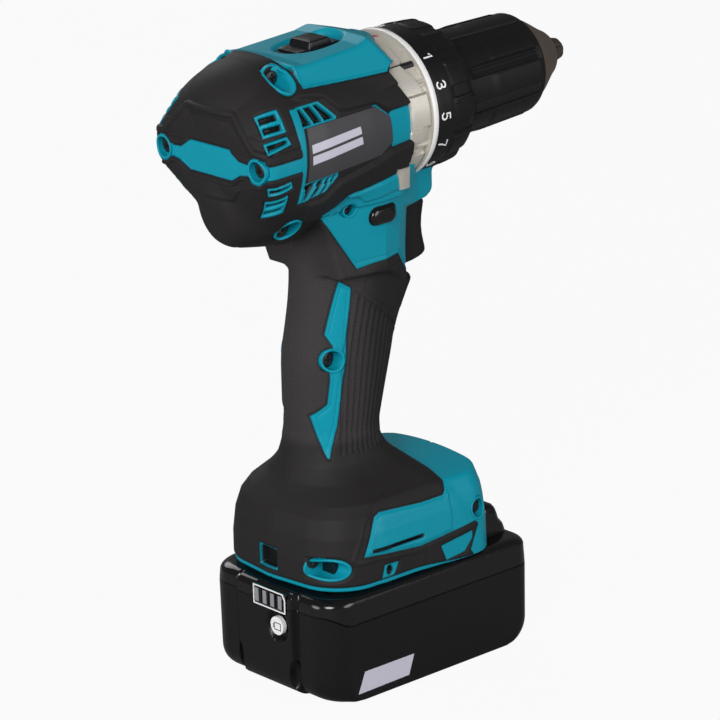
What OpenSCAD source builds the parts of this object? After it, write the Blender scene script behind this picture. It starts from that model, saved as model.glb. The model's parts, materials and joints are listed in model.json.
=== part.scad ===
// Compact cordless drill driver with a slide-on battery. Millimetres.
// +X points toward the chuck, +Z up. The origin is on the base, under the battery's middle.

/* [Spindle and housing] */
// Height of the spindle axis above the base, over the battery's middle
spindle_z = 226; // [224:0.5:230]
// Upward tilt of the spindle axis toward the chuck, in degrees
barrel_tilt = 3; // [2:0.25:4]
// Radius of the motor housing at its widest
barrel_r = 35; // [34.5:0.25:36]
// Radius of the motor housing at its front edge
barrel_front_r = 29.5; // [29:0.25:30.5]
// Reach of the flat rear face behind the battery's middle
rear_reach = 75.5; // [72:0.5:80]
// Length of the removable rear cover
cover_l = 19.5; // [18:0.5:21]
// Wall of the hard shell
shell_wall = 3; // [2.6:0.1:3.4]
// Thickness of the rubber layer moulded over the shell
rubber_t = 1.4; // [1:0.1:1.6]

/* [Grip and foot] */
// Width of the grip across its sides
grip_w = 35; // [33:0.5:37]
// Depth of the grip, front to back
grip_d = 51; // [49:0.5:53]
// Height of the shell's lower edge above the base
skirt_z = 45.4; // [45.2:0.1:46.5]
// Width of the foot
foot_w = 74; // [72:0.5:76]
// Reach of the foot behind the battery's middle
foot_back = 53; // [52:0.5:55]
// Reach of the foot ahead of the battery's middle
foot_front = 39; // [38:0.5:41]

/* [Gear case and collar] */
// Distance of the rim's front face ahead of the battery's middle
rim_x = 14.6; // [13.6:0.2:15.6]
// Radius of the rim flange
rim_r = 30.1; // [29.8:0.1:31]
// Radius of the neck that carries the collar
neck_r = 19.5; // [19.2:0.1:20]
// Radius of the torque collar
collar_r = 29.7; // [29:0.1:30]
// Length of the torque collar
collar_l = 23.3; // [22.5:0.1:24]
// Turn of the collar from drilling to the lowest torque, in degrees
collar_turn = 304; // [280:1:320]

/* [Gears] */
// Pressure angle of the teeth
pressure_angle = 25; // [24:0.5:26]
// Gear module of the first and third stages
module_a = 0.85; // [0.83:0.01:0.86]
// Gear module of the second stage
module_b = 0.9; // [0.88:0.01:0.92]
// Thinning of each tooth for backlash
backlash = 0.1; // [0.08:0.01:0.16]
// Width of the first stage's gears
gear_w1 = 6.5; // [6:0.1:7]
// Width of the second and third stages' gears
gear_w2 = 5.5; // [5.2:0.1:6]
// Thickness of the planet carriers
carrier_t = 2.8; // [2.4:0.1:3]
// Radius of the planet pins
pin_r = 1.5; // [1.3:0.05:1.7]

/* [Motor] */
// Radius of the stator
stator_r = 23; // [22:0.25:24]
// Radius of the rotor
rotor_r = 10; // [9:0.25:11]
// Radius of the rotor shaft
shaft_r = 2.5; // [2:0.1:3]
// Radius of the cooling fan
fan_r = 20; // [18:0.5:22]
// Blades on the cooling fan
fan_blades = 11; // [7:1:13]

/* [Chuck] */
// Radius of the chuck sleeve at its rear
sleeve_r = 21.6; // [21.3:0.1:22]
// Radius of the chuck sleeve at its front
sleeve_front_r = 20.4; // [20.2:0.1:21]
// Length of the chuck sleeve
sleeve_l = 43.6; // [42:0.2:45]
// Length of the bare nose ahead of the sleeve
nose_l = 20.4; // [19.5:0.2:21]
// Slope of the jaws to the chuck's axis, in degrees
jaw_angle = 15.5; // [15:0.25:16]
// Radius of each round jaw
jaw_r = 3.5; // [3.3:0.05:3.6]
// Length of each jaw
jaw_l = 37; // [35:0.5:38]
// How far the closed jaws stand out of the nose
jaw_out = 7; // [6:0.25:8]
// Largest bit that the chuck takes, across its shank
bit_d = 13; // [10:0.5:13]

/* [Controls] */
// Width of the trigger
trigger_w = 18; // [16:0.5:19]
// Height of the trigger
trigger_h = 29; // [27:0.5:30]
// Travel of the trigger
trigger_travel = 7; // [6:0.25:7.5]
// Width of the direction lever, along the barrel
lever_w = 14; // [12:0.5:15]
// Height of the direction lever
lever_h = 7; // [6:0.25:8]
// Travel of the direction lever to each side of its middle
lever_travel = 3; // [2:0.25:3.5]
// Travel of the speed selector
shift_travel = 6; // [5.5:0.1:6.2]

/* [Battery] */
// Length of the battery
battery_l = 112; // [110:0.5:115]
// Width of the battery
battery_w = 74.4; // [70:0.2:78]
// Height of the battery's deck above the base
battery_h = 44.5; // [43.5:0.1:44.8]
// Height of the line between the battery's two case halves
seam_z = 33; // [31:0.5:35]
// Width of the block that slides into the foot
rail_w = 56; // [54:0.5:57]
// Height of the sliding block above the battery's deck
rail_h = 12.4; // [12:0.1:12.6]
// Radius of one battery cell
cell_r = 9.1; // [8.8:0.05:9.2]

/* [Hidden] */
$fn = 64;

// Clearances
run_fit = 0.04;      // a shaft in its hole, on the radius
slide_fit = 0.3;     // between parts that slide past each other
axial_play = 0.4;    // between parts that turn beside each other
seam_gap = 0.15;     // at the seam round the rear cover
bite = 0.4;          // how thick a slice of a loft is
through = 1;         // how far a cutter runs past what it cuts

// Tooth counts: sun, planet and ring of each stage
teeth_1 = [15, 12, 39];
teeth_2 = [12, 12, 36];
teeth_3 = [18, 12, 42];
addendum = 0.9;
dedendum = 1.15;
flank_steps = 3;
planet_count = 3;

// Gear train along the barrel, measured back from the rim's front face
ring_r = module_a * teeth_3[2] / 2 + 2.4;
pin_ring_r = neck_r + 2.8;
case_r = ring_r + 3;
case_front_r = pin_ring_r + 5;
case_wall = 4.8;
spindle_plate_x = rim_x - case_wall;
planets_3_x = spindle_plate_x - axial_play - gear_w2;
ring_3_x = planets_3_x - 0.4;
carrier_1_x = ring_3_x - 15.2;
planets_2_x = carrier_1_x + carrier_t + axial_play;
shift_ring_l = carrier_t + axial_play + gear_w2;
carrier_2_x = planets_2_x + gear_w2 + axial_play;
planets_1_x = carrier_1_x - axial_play - gear_w1;
bracket_t = 6;
bracket_x = planets_1_x - 1.6 - bracket_t;
board_x = bracket_x - 3;
winding_l = 4;
bearing_x = -rear_reach + shell_wall + 1;
rear_bearing = [6.5, 4];
front_bearing = [8, 5];
spindle_bearing = [12, 6];
fan_l = 8.5;
fan_x = bearing_x + rear_bearing[1] + 1.6;
stator_x = fan_x + fan_l + 1 + winding_l;
stator_l = board_x - 1.2 - winding_l - stator_x;
cover_x = -rear_reach + cover_l;
housing_x = 3;
cavity_r = stator_r + 1;

// Chuck along the barrel
collar_x = rim_x + 0.9;
collar_end = collar_x + collar_l;
sleeve_x = collar_end + 0.6;
sleeve_end = sleeve_x + sleeve_l;
nose_x = sleeve_end + nose_l;
tip_x = nose_x + jaw_out;
chuck_x = sleeve_x + 1.6;
sleeve_wall = 2.1;
body_r = sleeve_front_r - sleeve_wall;
nut_x = chuck_x + 31.5;
nut_w = 9;
spindle_r = 6;
spindle_end = chuck_x + 15;
jaw_offset = 0.3;
jaw_fit = 0.15;
jaw_travel = (bit_d / 2 + 0.1) / sin(jaw_angle);

// Grip stations: height share from waist to barrel, forward offset, depth share, width share
waist_z = 84;
grip_top_z = spindle_z - 22;
grip_stations = [
    [0, -20, 0.84, 1.12], [0.11, -18.7, 0.72, 0.95], [0.24, -16.2, 0.86, 0.99],
    [0.41, -13.4, 0.985, 1], [0.5, -12.6, 1.01, 1.0], [0.6, -10.6, 1.05, 1.02],
    [0.7, -9.3, 1.03, 1.06], [0.79, -9, 1.04, 1.15], [0.89, -9.6, 1.12, 1.3], [1, -12, 1.3, 1.42]
];
function grip_z(share) = waist_z + share * (grip_top_z - waist_z);

// Foot stations: height above the skirt, rear pull-in, front pull-in, side pull-in
foot_stations = [
    [0, 0.4, -0.6, 0.4], [1.8, 0, -0.2, 0], [12, 0, 1.6, 0.2], [22, 1, 8.5, 1.2],
    [29, 3, 16.5, 3], [34, 7, 22, 5.5], [39.5, 12, 29, 12], [46, 15, 36, 19], [52, 16, 39, 20.8]
];
foot_rear_round = 18;
foot_front_round = 8;

// Battery block and the rails that hold it
rail_back = -45;
rail_front = 28;
rail_lip = 4;
rail_lip_h = 6;
rail_stem_h = rail_h - rail_lip_h;
roof_z = battery_h + rail_h + 0.6;
blade_t = 0.8;
blade_y = 9;

// Screws: side screws join the housing halves, [along X, height, seat across]
screw_r = 1.9;
screw_head_r = 3.1;
well_r = 3.9;
post_wall = 1.6;
side_screws = [[-23.2, 195.2, -8], [-29, 134.7, -8], [-48.3, 58, -19]];
barrel_screws = [[-51.5, 29.5, -8], [-50.5, -31.5, -8]];
rear_screw_y = 27.3;

teal = "#0891A3";
black_rubber = "#3A3738";
black_gloss = "#1B191C";
black_plastic = "#262427";
silver = "#CFCBC3";
steel = "#9A9A9A";
bronze = "#5E524D";
copper = "#B06A3A";
white = "#E8E8E8";
board_green = "#2F6B45";

// ---- Helpers ----

// Places children in the barrel's frame: X along the spindle, Z up from it.
module barrel() translate([0, 0, spindle_z]) rotate([0, -barrel_tilt, 0]) children();

// Stands children, modelled along +Z, on the barrel's axis at a distance x.
module along(x) barrel() translate([x, 0, 0]) rotate([0, 90, 0]) children();

module tube(r_out, r_in, l) {
    difference() {
        cylinder(r = r_out, h = l);
        translate([0, 0, -through]) cylinder(r = r_in, h = l + 2 * through);
    }
}

module side_prism(points, y0, y1) {
    translate([0, y1, 0]) rotate([90, 0, 0]) linear_extrude(y1 - y0) polygon(points);
}

module planets_at(radius, turn = 0) {
    for (i = [0:planet_count - 1]) rotate([0, 0, turn + i * 360 / planet_count])
        translate([radius, 0, 0]) children();
}

module right_side(reach = 200) translate([-reach, -reach, -reach]) cube([2 * reach, reach, 4 * reach]);
module left_side(reach = 200) translate([-reach, 0, -reach]) cube([2 * reach, reach, 4 * reach]);

// Rounded outline of a slice: four arcs joined by straight sides.
function corner(cx, cy, r, a0, steps = 4) =
    [for (i = [0:steps]) [cx + r * cos(a0 + i * 90 / steps), cy + r * sin(a0 + i * 90 / steps)]];
function plan(x0, x1, hw, r0, r1) = concat(
    corner(x1 - r1, hw - r1, r1, 0), corner(x0 + r0, hw - r0, r0, 90),
    corner(x0 + r0, -hw + r0, r0, 180), corner(x1 - r1, -hw + r1, r1, 270));

// Slightly squared ellipse.
function oval(xc, ax, ay, steps = 28) = [for (i = [0:steps - 1])
    let (a = i * 360 / steps, c = cos(a), s = sin(a))
    [xc + ax * sign(c) * pow(abs(c), 0.95), ay * sign(s) * pow(abs(s), 0.95)]];

// ---- Gears ----

function involute(a) = tan(a) - a * PI / 180;
function half_tooth(z, m, play, r) = let (rp = m * z / 2, rb = rp * cos(pressure_angle))
    90 / z + (involute(pressure_angle) - involute(acos(min(1, rb / r))) - play / (2 * rp)) * 180 / PI;
function polar(r, a) = [r * cos(a), r * sin(a)];

// Outline of an involute gear with a tooth on the X axis.
function gear_outline(z, m, above, below, play) = let (r0 = m * (z / 2 - below), r1 = m * (z / 2 + above))
    [for (i = [0:z - 1]) for (side = [-1, 1]) for (k = [0:flank_steps])
        let (share = (side < 0 ? k : flank_steps - k) / flank_steps, r = r0 + (r1 - r0) * share)
        polar(r, i * 360 / z + side * half_tooth(z, m, play, r))];

module gear(z, m, l) linear_extrude(l) polygon(gear_outline(z, m, addendum, dedendum, backlash));

// Bore with internal teeth: its spaces have the shape of a thickened gear.
module ring_teeth(z, m, l) {
    rotate([0, 0, 180 / z]) translate([0, 0, -through]) linear_extrude(l + 2 * through)
        polygon(gear_outline(z, m, dedendum, addendum, -backlash));
}

function centre_distance(teeth, m) = m * (teeth[0] + teeth[1]) / 2;

module planet(teeth, m, l) {
    difference() {
        rotate([0, 0, 180 / teeth[1]]) gear(teeth[1], m, l);
        translate([0, 0, -through]) cylinder(r = pin_r + run_fit, h = l + 2 * through);
    }
}

// ---- Outer form of the housing, pulled in by a depth d ----

// Motor barrel from the rear cover's seam to the front edge.
module barrel_form(d) {
    rs = [[cover_x - 0.5, barrel_r + 0.2], [-44, barrel_r], [-20, barrel_r - 2.2], [housing_x,
        barrel_front_r]];
    along(0) rotate_extrude($fn = 44) polygon(concat([[0, rs[0][0]]], [for (p = rs) [p[1] - d, p[0]]],
        [[0, rs[3][0]]]));
}

// Flat-topped block that carries the speed selector.
module top_block(d) barrel() {
    block = [[-14 + d, barrel_r - d], [14 - d, barrel_r - d], [25.5 - d, 21.5], [20, 10], [-20, 10],
        [-25.5 + d, 21.5]];
    hull() {
        translate([-46.5 + d, 0, 0]) rotate([90, 0, 90]) linear_extrude(bite) polygon(block);
        translate([-2 - d, 0, 0]) rotate([90, 0, 90]) linear_extrude(bite) polygon(block);
        translate([4.5 - d, 0, -4]) rotate([90, 0, 90]) linear_extrude(bite) polygon(block);
    }
}

module grip_slice(station, d) {
    translate([0, 0, grip_z(station[0])]) linear_extrude(bite)
        polygon(oval(station[1], grip_d / 2 * station[2] - d, grip_w / 2 * station[3] - d));
}

module grip_form(d) {
    for (i = [0:len(grip_stations) - 2]) hull() {
        grip_slice(grip_stations[i], d);
        grip_slice(grip_stations[i + 1], d);
    }
}

// Switch housing: the part under the barrel, narrowed toward the trigger, and the nose under the collar.
module switch_form(d) {
    hw = 22 - d;
    side = [[-32, 168], [-4, 166], [9, 159], [15.5, 158], [14.5, 176], [15.5, 193], [15.5, 206], [0, 212],
        [-34, 208], [-40, 197]];
    intersection() {
        translate([0, hw, 0]) rotate([90, 0, 0]) linear_extrude(2 * hw) offset(delta = -d) polygon(side);
        hull() {
            translate([-46, -hw, 150]) cube([40, 2 * hw, 80]);
            translate([10, -11 + d, 150]) cube([5.5 - d, 22 - 2 * d, 80]);
        }
    }
    hull() {
        translate([-30 + d, -hw, 197 + d]) cube([31 - d, 2 * hw, 13 - d]);
        translate([18, -13 + d, 191.5 + d * 0.3]) cube([8 - d, 26 - 2 * d, 14 - d]);
        translate([4, -12 + d, 190 + d * 0.3]) cube([12, 24 - 2 * d, 10]);
    }
}

// Chin that joins the back of the grip to the underside of the motor and reaches below the rear cover.
chin_stations = [[2.5 - rear_reach, -26, 9], [-66, -24, 13.7], [-48, -22, 19.5], [-20, -12, 20]];
module chin_form(d) {
    for (i = [0:len(chin_stations) - 2]) barrel() hull() for (k = [0, 1]) {
        row = chin_stations[i + k];
        translate([row[0] + (i + k == 0 ? d : 0), 0, row[1]]) rotate([0, 90, 0]) cylinder(r = row[2] - d,
            h = bite, $fn = 28);
    }
    hull() {
        barrel() translate([cover_x, 0, -23]) rotate([0, 90, 0]) cylinder(r = 17 - d, h = bite, $fn = 28);
        barrel() translate([-46, 0, -22]) rotate([0, 90, 0]) cylinder(r = 19.5 - d, h = bite, $fn = 28);
        translate([0, 0, spindle_z - 45]) linear_extrude(bite) polygon(oval(-13, 23 - d, 19 - d));
    }
}

// Ledge below the trigger that the middle finger rests under.
module ledge_form(d) hull() {
    translate([0, 0, 163]) linear_extrude(bite) polygon(oval(4, 14 - d, 14 - d));
    translate([0, 0, 156]) linear_extrude(bite) polygon(oval(5, 16.5 - d, 13.5 - d));
    translate([0, 0, 147]) linear_extrude(bite) polygon(oval(0, 14.5 - d, 13 - d));
}

function foot_plan(row, d) = plan(-foot_back + row[1] + d, foot_front - row[2] - d, foot_w / 2 - row[3] - d,
    max(2, foot_rear_round - row[3] * 0.2 - d), max(1.5, foot_front_round + row[3] * 0.2 - d));

module foot_slice(row, d) {
    translate([0, 0, skirt_z + row[0]]) linear_extrude(bite) polygon(foot_plan(row, d));
}

module foot_form(d) {
    last = len(foot_stations) - 1;
    for (i = [0:last - 1]) hull() {
        foot_slice(foot_stations[i], d);
        foot_slice(foot_stations[i + 1], d);
    }
}

module form(d) {
    barrel_form(d);
    top_block(d);
    grip_form(d);
    switch_form(d);
    chin_form(d);
    ledge_form(d);
    foot_form(d);
}

// ---- Where the hard shell shows between the rubber, seen from the side ----

barrel_panel = [[-60, -8.5], [-54.5, -19.5], [-50, -18.5], [-37, -11.5], [-30, -12.5], [-9, -9.5], [5, -10],
    [5, 7.5], [-9, 8.5], [-18, 13], [-35.5, 13.2], [-40, 19.5], [-54, 19], [-60, 13]];
switch_panel = [[-40, 196.8], [-24.5, 202.3], [-1.6, 205], [30, 207], [30, 160], [12, 158], [6.7, 163.8],
    [1.7, 172.6], [-21.9, 171.7]];
grip_panel = [[-25.3, 165.8], [-20, 161.8], [-23.5, 136.7], [-31, 93], [-45, 110], [-34.4, 117.3],
    [-31.7, 131],
    [-29.9, 141.5]];
foot_panel = [[-40, 40], [-36, 56.7], [-27, 78], [10.5, 72.5], [12, 79.5], [3, 93], [12, 110], [70, 80],
    [70, 40]];

module shown_shell() {
    barrel() for (s = [-1, 1]) side_prism(barrel_panel, s * 40 - 20, s * 40 + 20);
    for (s = [-1, 1]) side_prism(switch_panel, s * 40 - 32, s * 40 + 32);
    for (s = [-1, 1]) side_prism(grip_panel, s * 20 - 16, s * 20 + 16);
    side_prism(foot_panel, -60, 60);
    translate([12, -40, 186]) cube([30, 80, 30]);
    barrel() translate([-46.5, -26, 21.5]) cube([60, 52, 30]);
    translate([-80, -60, skirt_z - 2]) cube([160, 120, 4.2]);
}

// ---- What is cut out of the shells ----

vent_w = 3.2;
// Vents of the rear cover: [along the barrel, angle from the top, length]
cover_vents = [[8.8, 55, 11], [8.9, 63, 11], [7.2, 74.5, 10], [6.7, 104.5, 11], [6, 114, 12], [6, 121.5,
    12]];

module vent(x, angle, l, w = vent_w) {
    barrel() rotate([angle, 0, 0]) translate([x - l / 2, -w / 2, barrel_r - 9]) cube([l, w, 14]);
}

// Three slanted slots in a triangle, above and below the side panel.
module side_vents(up) {
    for (i = [0:2]) barrel() rotate([up ? 61 : 118, 0, 0]) translate([-50 + i * 4.2, 0, barrel_r - 8])
        rotate([0, 0, up ? -35 : 35]) translate([-1.1, -6 + i * 1.5, 0]) cube([2.2, 12 - 3 * i, 14]);
}

module vents() {
    for (s = [0, 1]) mirror([0, s, 0]) {
        for (v = cover_vents) vent(v[0] - rear_reach, v[1], v[2]);
        side_vents(true);
        side_vents(false);
    }
}

// Places children at each screw's seat, Z along the screw's way in.
module side_screw_places() {
    for (p = side_screws) translate([p[0], p[2], p[1]]) rotate([-90, 0, 0]) children();
    barrel() for (p = barrel_screws) translate([p[0], p[2], p[1]]) rotate([-90, 0, 0]) children();
}

// Bore for one side screw: a wide well from the right and a hole to the left.
module screw_bores() side_screw_places() {
    translate([0, 0, -3]) cylinder(r = screw_r + run_fit + 0.03, h = screw_l + 1, $fn = 16);
    mirror([0, 0, 1]) cylinder(r = well_r, h = 60, $fn = 20);
}

module screw_posts() side_screw_places() translate([0, 0, -40]) cylinder(r = well_r + post_wall, h = 90,
    $fn = 20);

// Recess of the speed selector in the top block.
selector_x = -27;
module selector_recess() barrel() {
    hull() for (x = [-15, 9]) translate([selector_x + x, 0, barrel_r - 4]) cylinder(r = 8.5, h = 8,
        $fn = 32);
    translate([selector_x - 10, -3, case_r - 3]) cube([20, 6, 20]);
    translate([selector_x - 4, -2.6, case_r - 1]) cube([carrier_1_x + 14 - selector_x, 5.2, 4.6]);
}

// Channel of the direction lever, through both sides.
lever_x = -7.8;
lever_z = 190;
module lever_channel(grow) {
    translate([lever_x, 0, lever_z]) rotate([90, barrel_tilt + 12, 0]) linear_extrude(70, center = true)
        hull() for (s = [-1, 1]) translate([s * (lever_w - lever_h) / 2,
            0]) circle(r = lever_h / 2 + grow, $fn = 32);
}

// Pocket of the trigger in the front of the switch housing.
trigger_z = 159.5;
trigger_x = 15.5;
trigger_front_x = 28.6;
module trigger_pocket() {
    translate([trigger_x - trigger_travel - 9, -trigger_w / 2 - slide_fit, trigger_z - slide_fit])
        cube([40, trigger_w + 2 * slide_fit, trigger_h + 2 * slide_fit]);
}

// Room for the battery's sliding block, open to the front, with rails along both sides.
module battery_room() {
    g = slide_fit + 0.2;
    stem = rail_w / 2 - rail_lip + g;
    wide = rail_w / 2 + g;
    lip_z = battery_h + rail_stem_h - g;
    translate([rail_back - g, -stem, skirt_z - 3]) cube([120, 2 * stem, roof_z - skirt_z + 3]);
    translate([rail_back - g, -wide, lip_z]) cube([120, 2 * wide, roof_z - lip_z]);
    translate([rail_front + 1, -rail_w / 2, skirt_z - 3]) cube([60, rail_w, roof_z - skirt_z + 4.6]);
}

// Hollow inside the shell, a wall's thickness in from the form.
module hollow() {
    d = rubber_t + shell_wall;
    difference() {
        union() {
            along(-80) cylinder(r = cavity_r + 0.2, h = 110 + housing_x, $fn = 40);
            along(bracket_x - 1) cylinder(r = case_r + 0.3, h = 40, $fn = 40);
            grip_form(d);
            intersection() { switch_form(d); translate([-60, -16, 150]) cube([90, 32, 70]); }
            difference() { foot_form(d); translate([-100, -60, 0]) cube([200, 120, roof_z + shell_wall]); }
        }
        screw_posts();
    }
}

// Seat of the rear cover, with everything above the chin behind the seam cleared.
module cover_room() {
    cover_form(-seam_gap, cover_x + seam_gap);
    barrel() translate([-rear_reach - 20, -60, -30]) cube([cover_l + 19.4, 120, 90]);
}

module collar_room() along(housing_x + 2) cylinder(r = collar_r + 1.3, h = 60, $fn = 44);
module gear_case_room() along(housing_x - 0.8) cylinder(r = rim_r + 0.6, h = 60, $fn = 44);

module shell() {
    difference() {
        union() {
            form(rubber_t);
            intersection() { form(0); shown_shell(); }
        }
        hollow();
        battery_room();
        screw_bores();
        vents();
        selector_recess();
        lever_channel(slide_fit);
        trigger_pocket();
        collar_room();
        gear_case_room();
        side_holes();
        lamp_hole();
        terminal_slot();
        rear_screw_holes();
        case_screw_places() translate([0, 0, -case_screw_back - 2]) cylinder(r = 1.5 + run_fit + 0.03,
            h = 40, $fn = 16);
        case_tabs(0.1);
        cover_room();
    }
}

module rubber() {
    difference() {
        form(0);
        form(rubber_t);
        shown_shell();
        battery_room();
        screw_bores();
        vents();
        gear_case_room();
        trigger_pocket();
        side_holes();
        case_screw_places() translate([0, 0, -case_screw_back - 2]) cylinder(r = 1.5 + run_fit + 0.03,
            h = 40, $fn = 16);
        cover_room();
    }
}

module housing_right() color(teal) intersection() { right_side(); shell(); }
module housing_left() color(teal) intersection() { left_side(); shell(); }
module grip_right() color(black_rubber) intersection() { right_side(); rubber(); }
module grip_left() color(black_rubber) intersection() { left_side(); rubber(); }

// ---- Rear cover ----

// Dome of the rear cover: rounded outside, flat across the back.
module cover_form(d, front = cover_x) along(0) rotate_extrude($fn = 56) polygon([[0, -rear_reach + d],
    [barrel_r - 10 - d, -rear_reach + d],
    [barrel_r - 6.6 - d, -rear_reach + 1 + d * 0.9], [barrel_r - 3.6 - d, -rear_reach + 3 + d * 0.8],
    [barrel_r - 1.4 - d, -rear_reach + 6 + d * 0.6], [barrel_r - 0.2 - d, -rear_reach + 10.5 + d * 0.3],
    [barrel_r + 0.2 - d, front], [0, front]]);

module cover_band() barrel() {
    translate([-rear_reach - 1, -40, -2.6]) cube([50, 80, 5.2]);
    side = [[-26, 2], [-14, 5.6], [13, 5.6], [26, 2], [26, -2], [14, -6.4], [-13, -6.4], [-26, -2]];
    translate([-rear_reach - 1, 0, 0]) rotate([90, 0, 90]) linear_extrude(8) polygon(side);
    for (s = [-1, 1]) translate([-rear_reach - 1, s * rear_screw_y, 0]) rotate([0, 90,
        0]) cylinder(r = 5.6, h = 12, $fn = 32);
}

module cover_cuts() {
    vents();
    for (s = [-1, 1]) barrel() translate([0, s * rear_screw_y, 0]) rotate([0, 90, 0]) {
        translate([0, 0, -rear_reach - 2]) cylinder(r = well_r - 0.3, h = 8, $fn = 32);
        translate([0, 0, -rear_reach]) cylinder(r = screw_r + run_fit, h = 40, $fn = 24);
    }
}

module rear_cover() color(teal) {
    difference() {
        union() {
            cover_form(rubber_t);
            intersection() { cover_form(0); cover_band(); }
        }
        difference() {
            intersection() {
                cover_form(rubber_t + shell_wall);
                along(-rear_reach + shell_wall) cylinder(r = 60, h = 60, $fn = 32);
            }
            along(-rear_reach) cylinder(r = rear_bearing[0] + 2.5, h = shell_wall + 1 + rear_bearing[1],
                $fn = 32);
            for (s = [-1, 1]) barrel() translate([-rear_reach, s * rear_screw_y, 0]) rotate([0, 90, 0])
                cylinder(r = 5.4, h = cover_l - 1, $fn = 32);
        }
        along(bearing_x) cylinder(r = rear_bearing[0] + 0.01, h = 30, $fn = 48);
        along(-rear_reach + 2.2) cylinder(r = 4, h = 30, $fn = 32);
        cover_cuts();
    }
}

module rear_cover_grip() color(black_rubber) {
    difference() {
        cover_form(0);
        cover_form(rubber_t);
        cover_band();
        cover_cuts();
    }
}

// ---- Screws ----

screw_l = 22;
screw_head_h = 2.6;
module screw(l, head_r = screw_head_r, head_h = screw_head_h) {
    difference() {
        union() {
            cylinder(r = head_r, h = head_h);
            cylinder(r = screw_r, h = l);
        }
        translate([0, 0, -through]) for (a = [0, 90]) rotate([0, 0, a])
            translate([-head_r * 0.6, -0.5, 0]) cube([head_r * 1.2, 1, 1 + head_h * 0.6]);
    }
}

module housing_screws() color(steel) side_screw_places() translate([0, 0, -screw_head_h]) screw(screw_l);

module rear_screws() color(steel) for (s = [-1, 1])
    barrel() translate([-rear_reach + 6 - screw_head_h, s * rear_screw_y, 0]) rotate([0, 90,
        0]) screw(cover_l + 5);

module rear_screw_holes() for (s = [-1, 1]) barrel() translate([cover_x - 1, s * rear_screw_y,
    0]) rotate([0, 90, 0])
    cylinder(r = screw_r + run_fit + 0.03, h = 14, $fn = 16);

// ---- Side mounts on the foot: threaded nuts for the hook or the bit holder ----

nut_places = [[-21.8, 51], [14.4, 51.4]];
nut_r = 3.6;
nut_l = 4.4;
thread_r = 1.65;
nut_depth = foot_w / 2 - 0.8;
module side_holes() {
    for (s = [-1, 1]) for (p = nut_places) translate([p[0], s * nut_depth, p[1]]) rotate([s * 90, 0, 0])
        cylinder(r = nut_r + 0.05, h = nut_l, $fn = 32);
    for (s = [-1, 1]) for (p = nut_places) translate([p[0], s * nut_depth, p[1]]) rotate([-s * 90, 0, 0])
        translate([0, 0, -0.5]) cylinder(r = nut_r - 0.4, h = 6, $fn = 32);
}

module side_nuts() color(steel)
    for (s = [-1, 1]) for (p = nut_places) translate([p[0], s * nut_depth, p[1]]) rotate([s * 90, 0, 0])
        tube(nut_r, thread_r, nut_l);

// ---- Lamp ----

lamp_x = 19.5;
lamp_r = 1.7;
lamp_z = spindle_z - collar_r - 2.7;
module lamp_hole() translate([lamp_x - 0.5, 0, lamp_z]) rotate([0, 90, 0]) cylinder(r = lamp_r + 0.1,
    h = 12, $fn = 24);
module lamp() color(white) translate([lamp_x, 0, lamp_z]) rotate([0, 90, 0]) {
    cylinder(r = lamp_r, h = 5.6);
    translate([0, 0, 5.6]) cylinder(r1 = lamp_r, r2 = lamp_r * 0.7, h = 0.6);
}

// ---- Gear case ----

module gear_case() color(silver) {
    difference() {
        union() {
            along(bracket_x + bracket_t) cylinder(r = case_r, h = housing_x - bracket_x - bracket_t);
            along(housing_x - 0.4) cylinder(r = case_front_r, h = rim_x - housing_x);
            along(rim_x - 2) cylinder(r = rim_r, h = 2);
            along(rim_x - 3.4) cylinder(r1 = case_front_r, r2 = rim_r, h = 1.4);
            along(rim_x - 1) cylinder(r = neck_r, h = collar_l + 1.6);
            // raised pads round the front of the case
            for (a = [-62, -24, 24, 62, 100, -100, 138, -138]) along(housing_x - 0.4) rotate([0, 0,
                180 + a])
                translate([case_front_r - 1.2, -4.2, 0]) cube([2.4, 8.4, rim_x - housing_x - 3.2]);
            case_screw_places() translate([0, 0, housing_x - 0.4 - rim_x]) cylinder(r = 2.8,
                h = rim_x - housing_x);
            case_tabs(0);
        }
        along(bracket_x) cylinder(r = ring_r + 0.05, h = ring_3_x - bracket_x + 0.2);
        along(ring_3_x - 0.2) cylinder(r = pin_ring_r + 2.3, h = spindle_plate_x - ring_3_x + 0.2);
        along(spindle_plate_x - 0.1) cylinder(r = teeth_3[2] * module_a / 2 - 0.4, h = 4.4);
        along(rim_x - 1) cylinder(r = spindle_r + 1.5, h = 60);
        along(rim_x + 1) cylinder(r = spindle_bearing[0], h = spindle_bearing[1]);
        along(rim_x - 1) cylinder(r = spindle_bearing[0] - 1.5, h = 4);
        along(collar_end - spindle_bearing[1] + 0.6) cylinder(r = spindle_bearing[0], h = 20);
        along(rim_x + 7) cylinder(r = spindle_bearing[0] - 2, h = collar_l - 10);
        for (a = [0:60:300]) along(rim_x - case_wall - 1) rotate([0, 0, a + 30]) translate([pin_ring_r,
            0, 0])
            cylinder(r = 2 + run_fit, h = 20, $fn = 24);
        // slot that the speed selector reaches through
        barrel() translate([carrier_1_x - 3, -3, case_r - 8]) cube([shift_ring_l + shift_travel + 3, 6,
            12]);
        // screw holes of the case's four screws
        case_screw_places() translate([0, 0, -case_screw_back - 2]) cylinder(r = 1.5 + run_fit, h = 40,
            $fn = 24);
        case_screw_places() translate([0, 0, -1.8]) cylinder(r = 2.3, h = 4, $fn = 24);
    }
}

// Tabs hooked over the housing below the case.
module case_tabs(g) for (s = [-1, 1]) along(housing_x + 0.4 - g) rotate([0, 0, s * 31])
    translate([case_front_r - 2 - g, -2.8 - g, 0]) cube([6.2 + 2 * g, 5.6 + 2 * g, 6 + 2 * g]);

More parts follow.
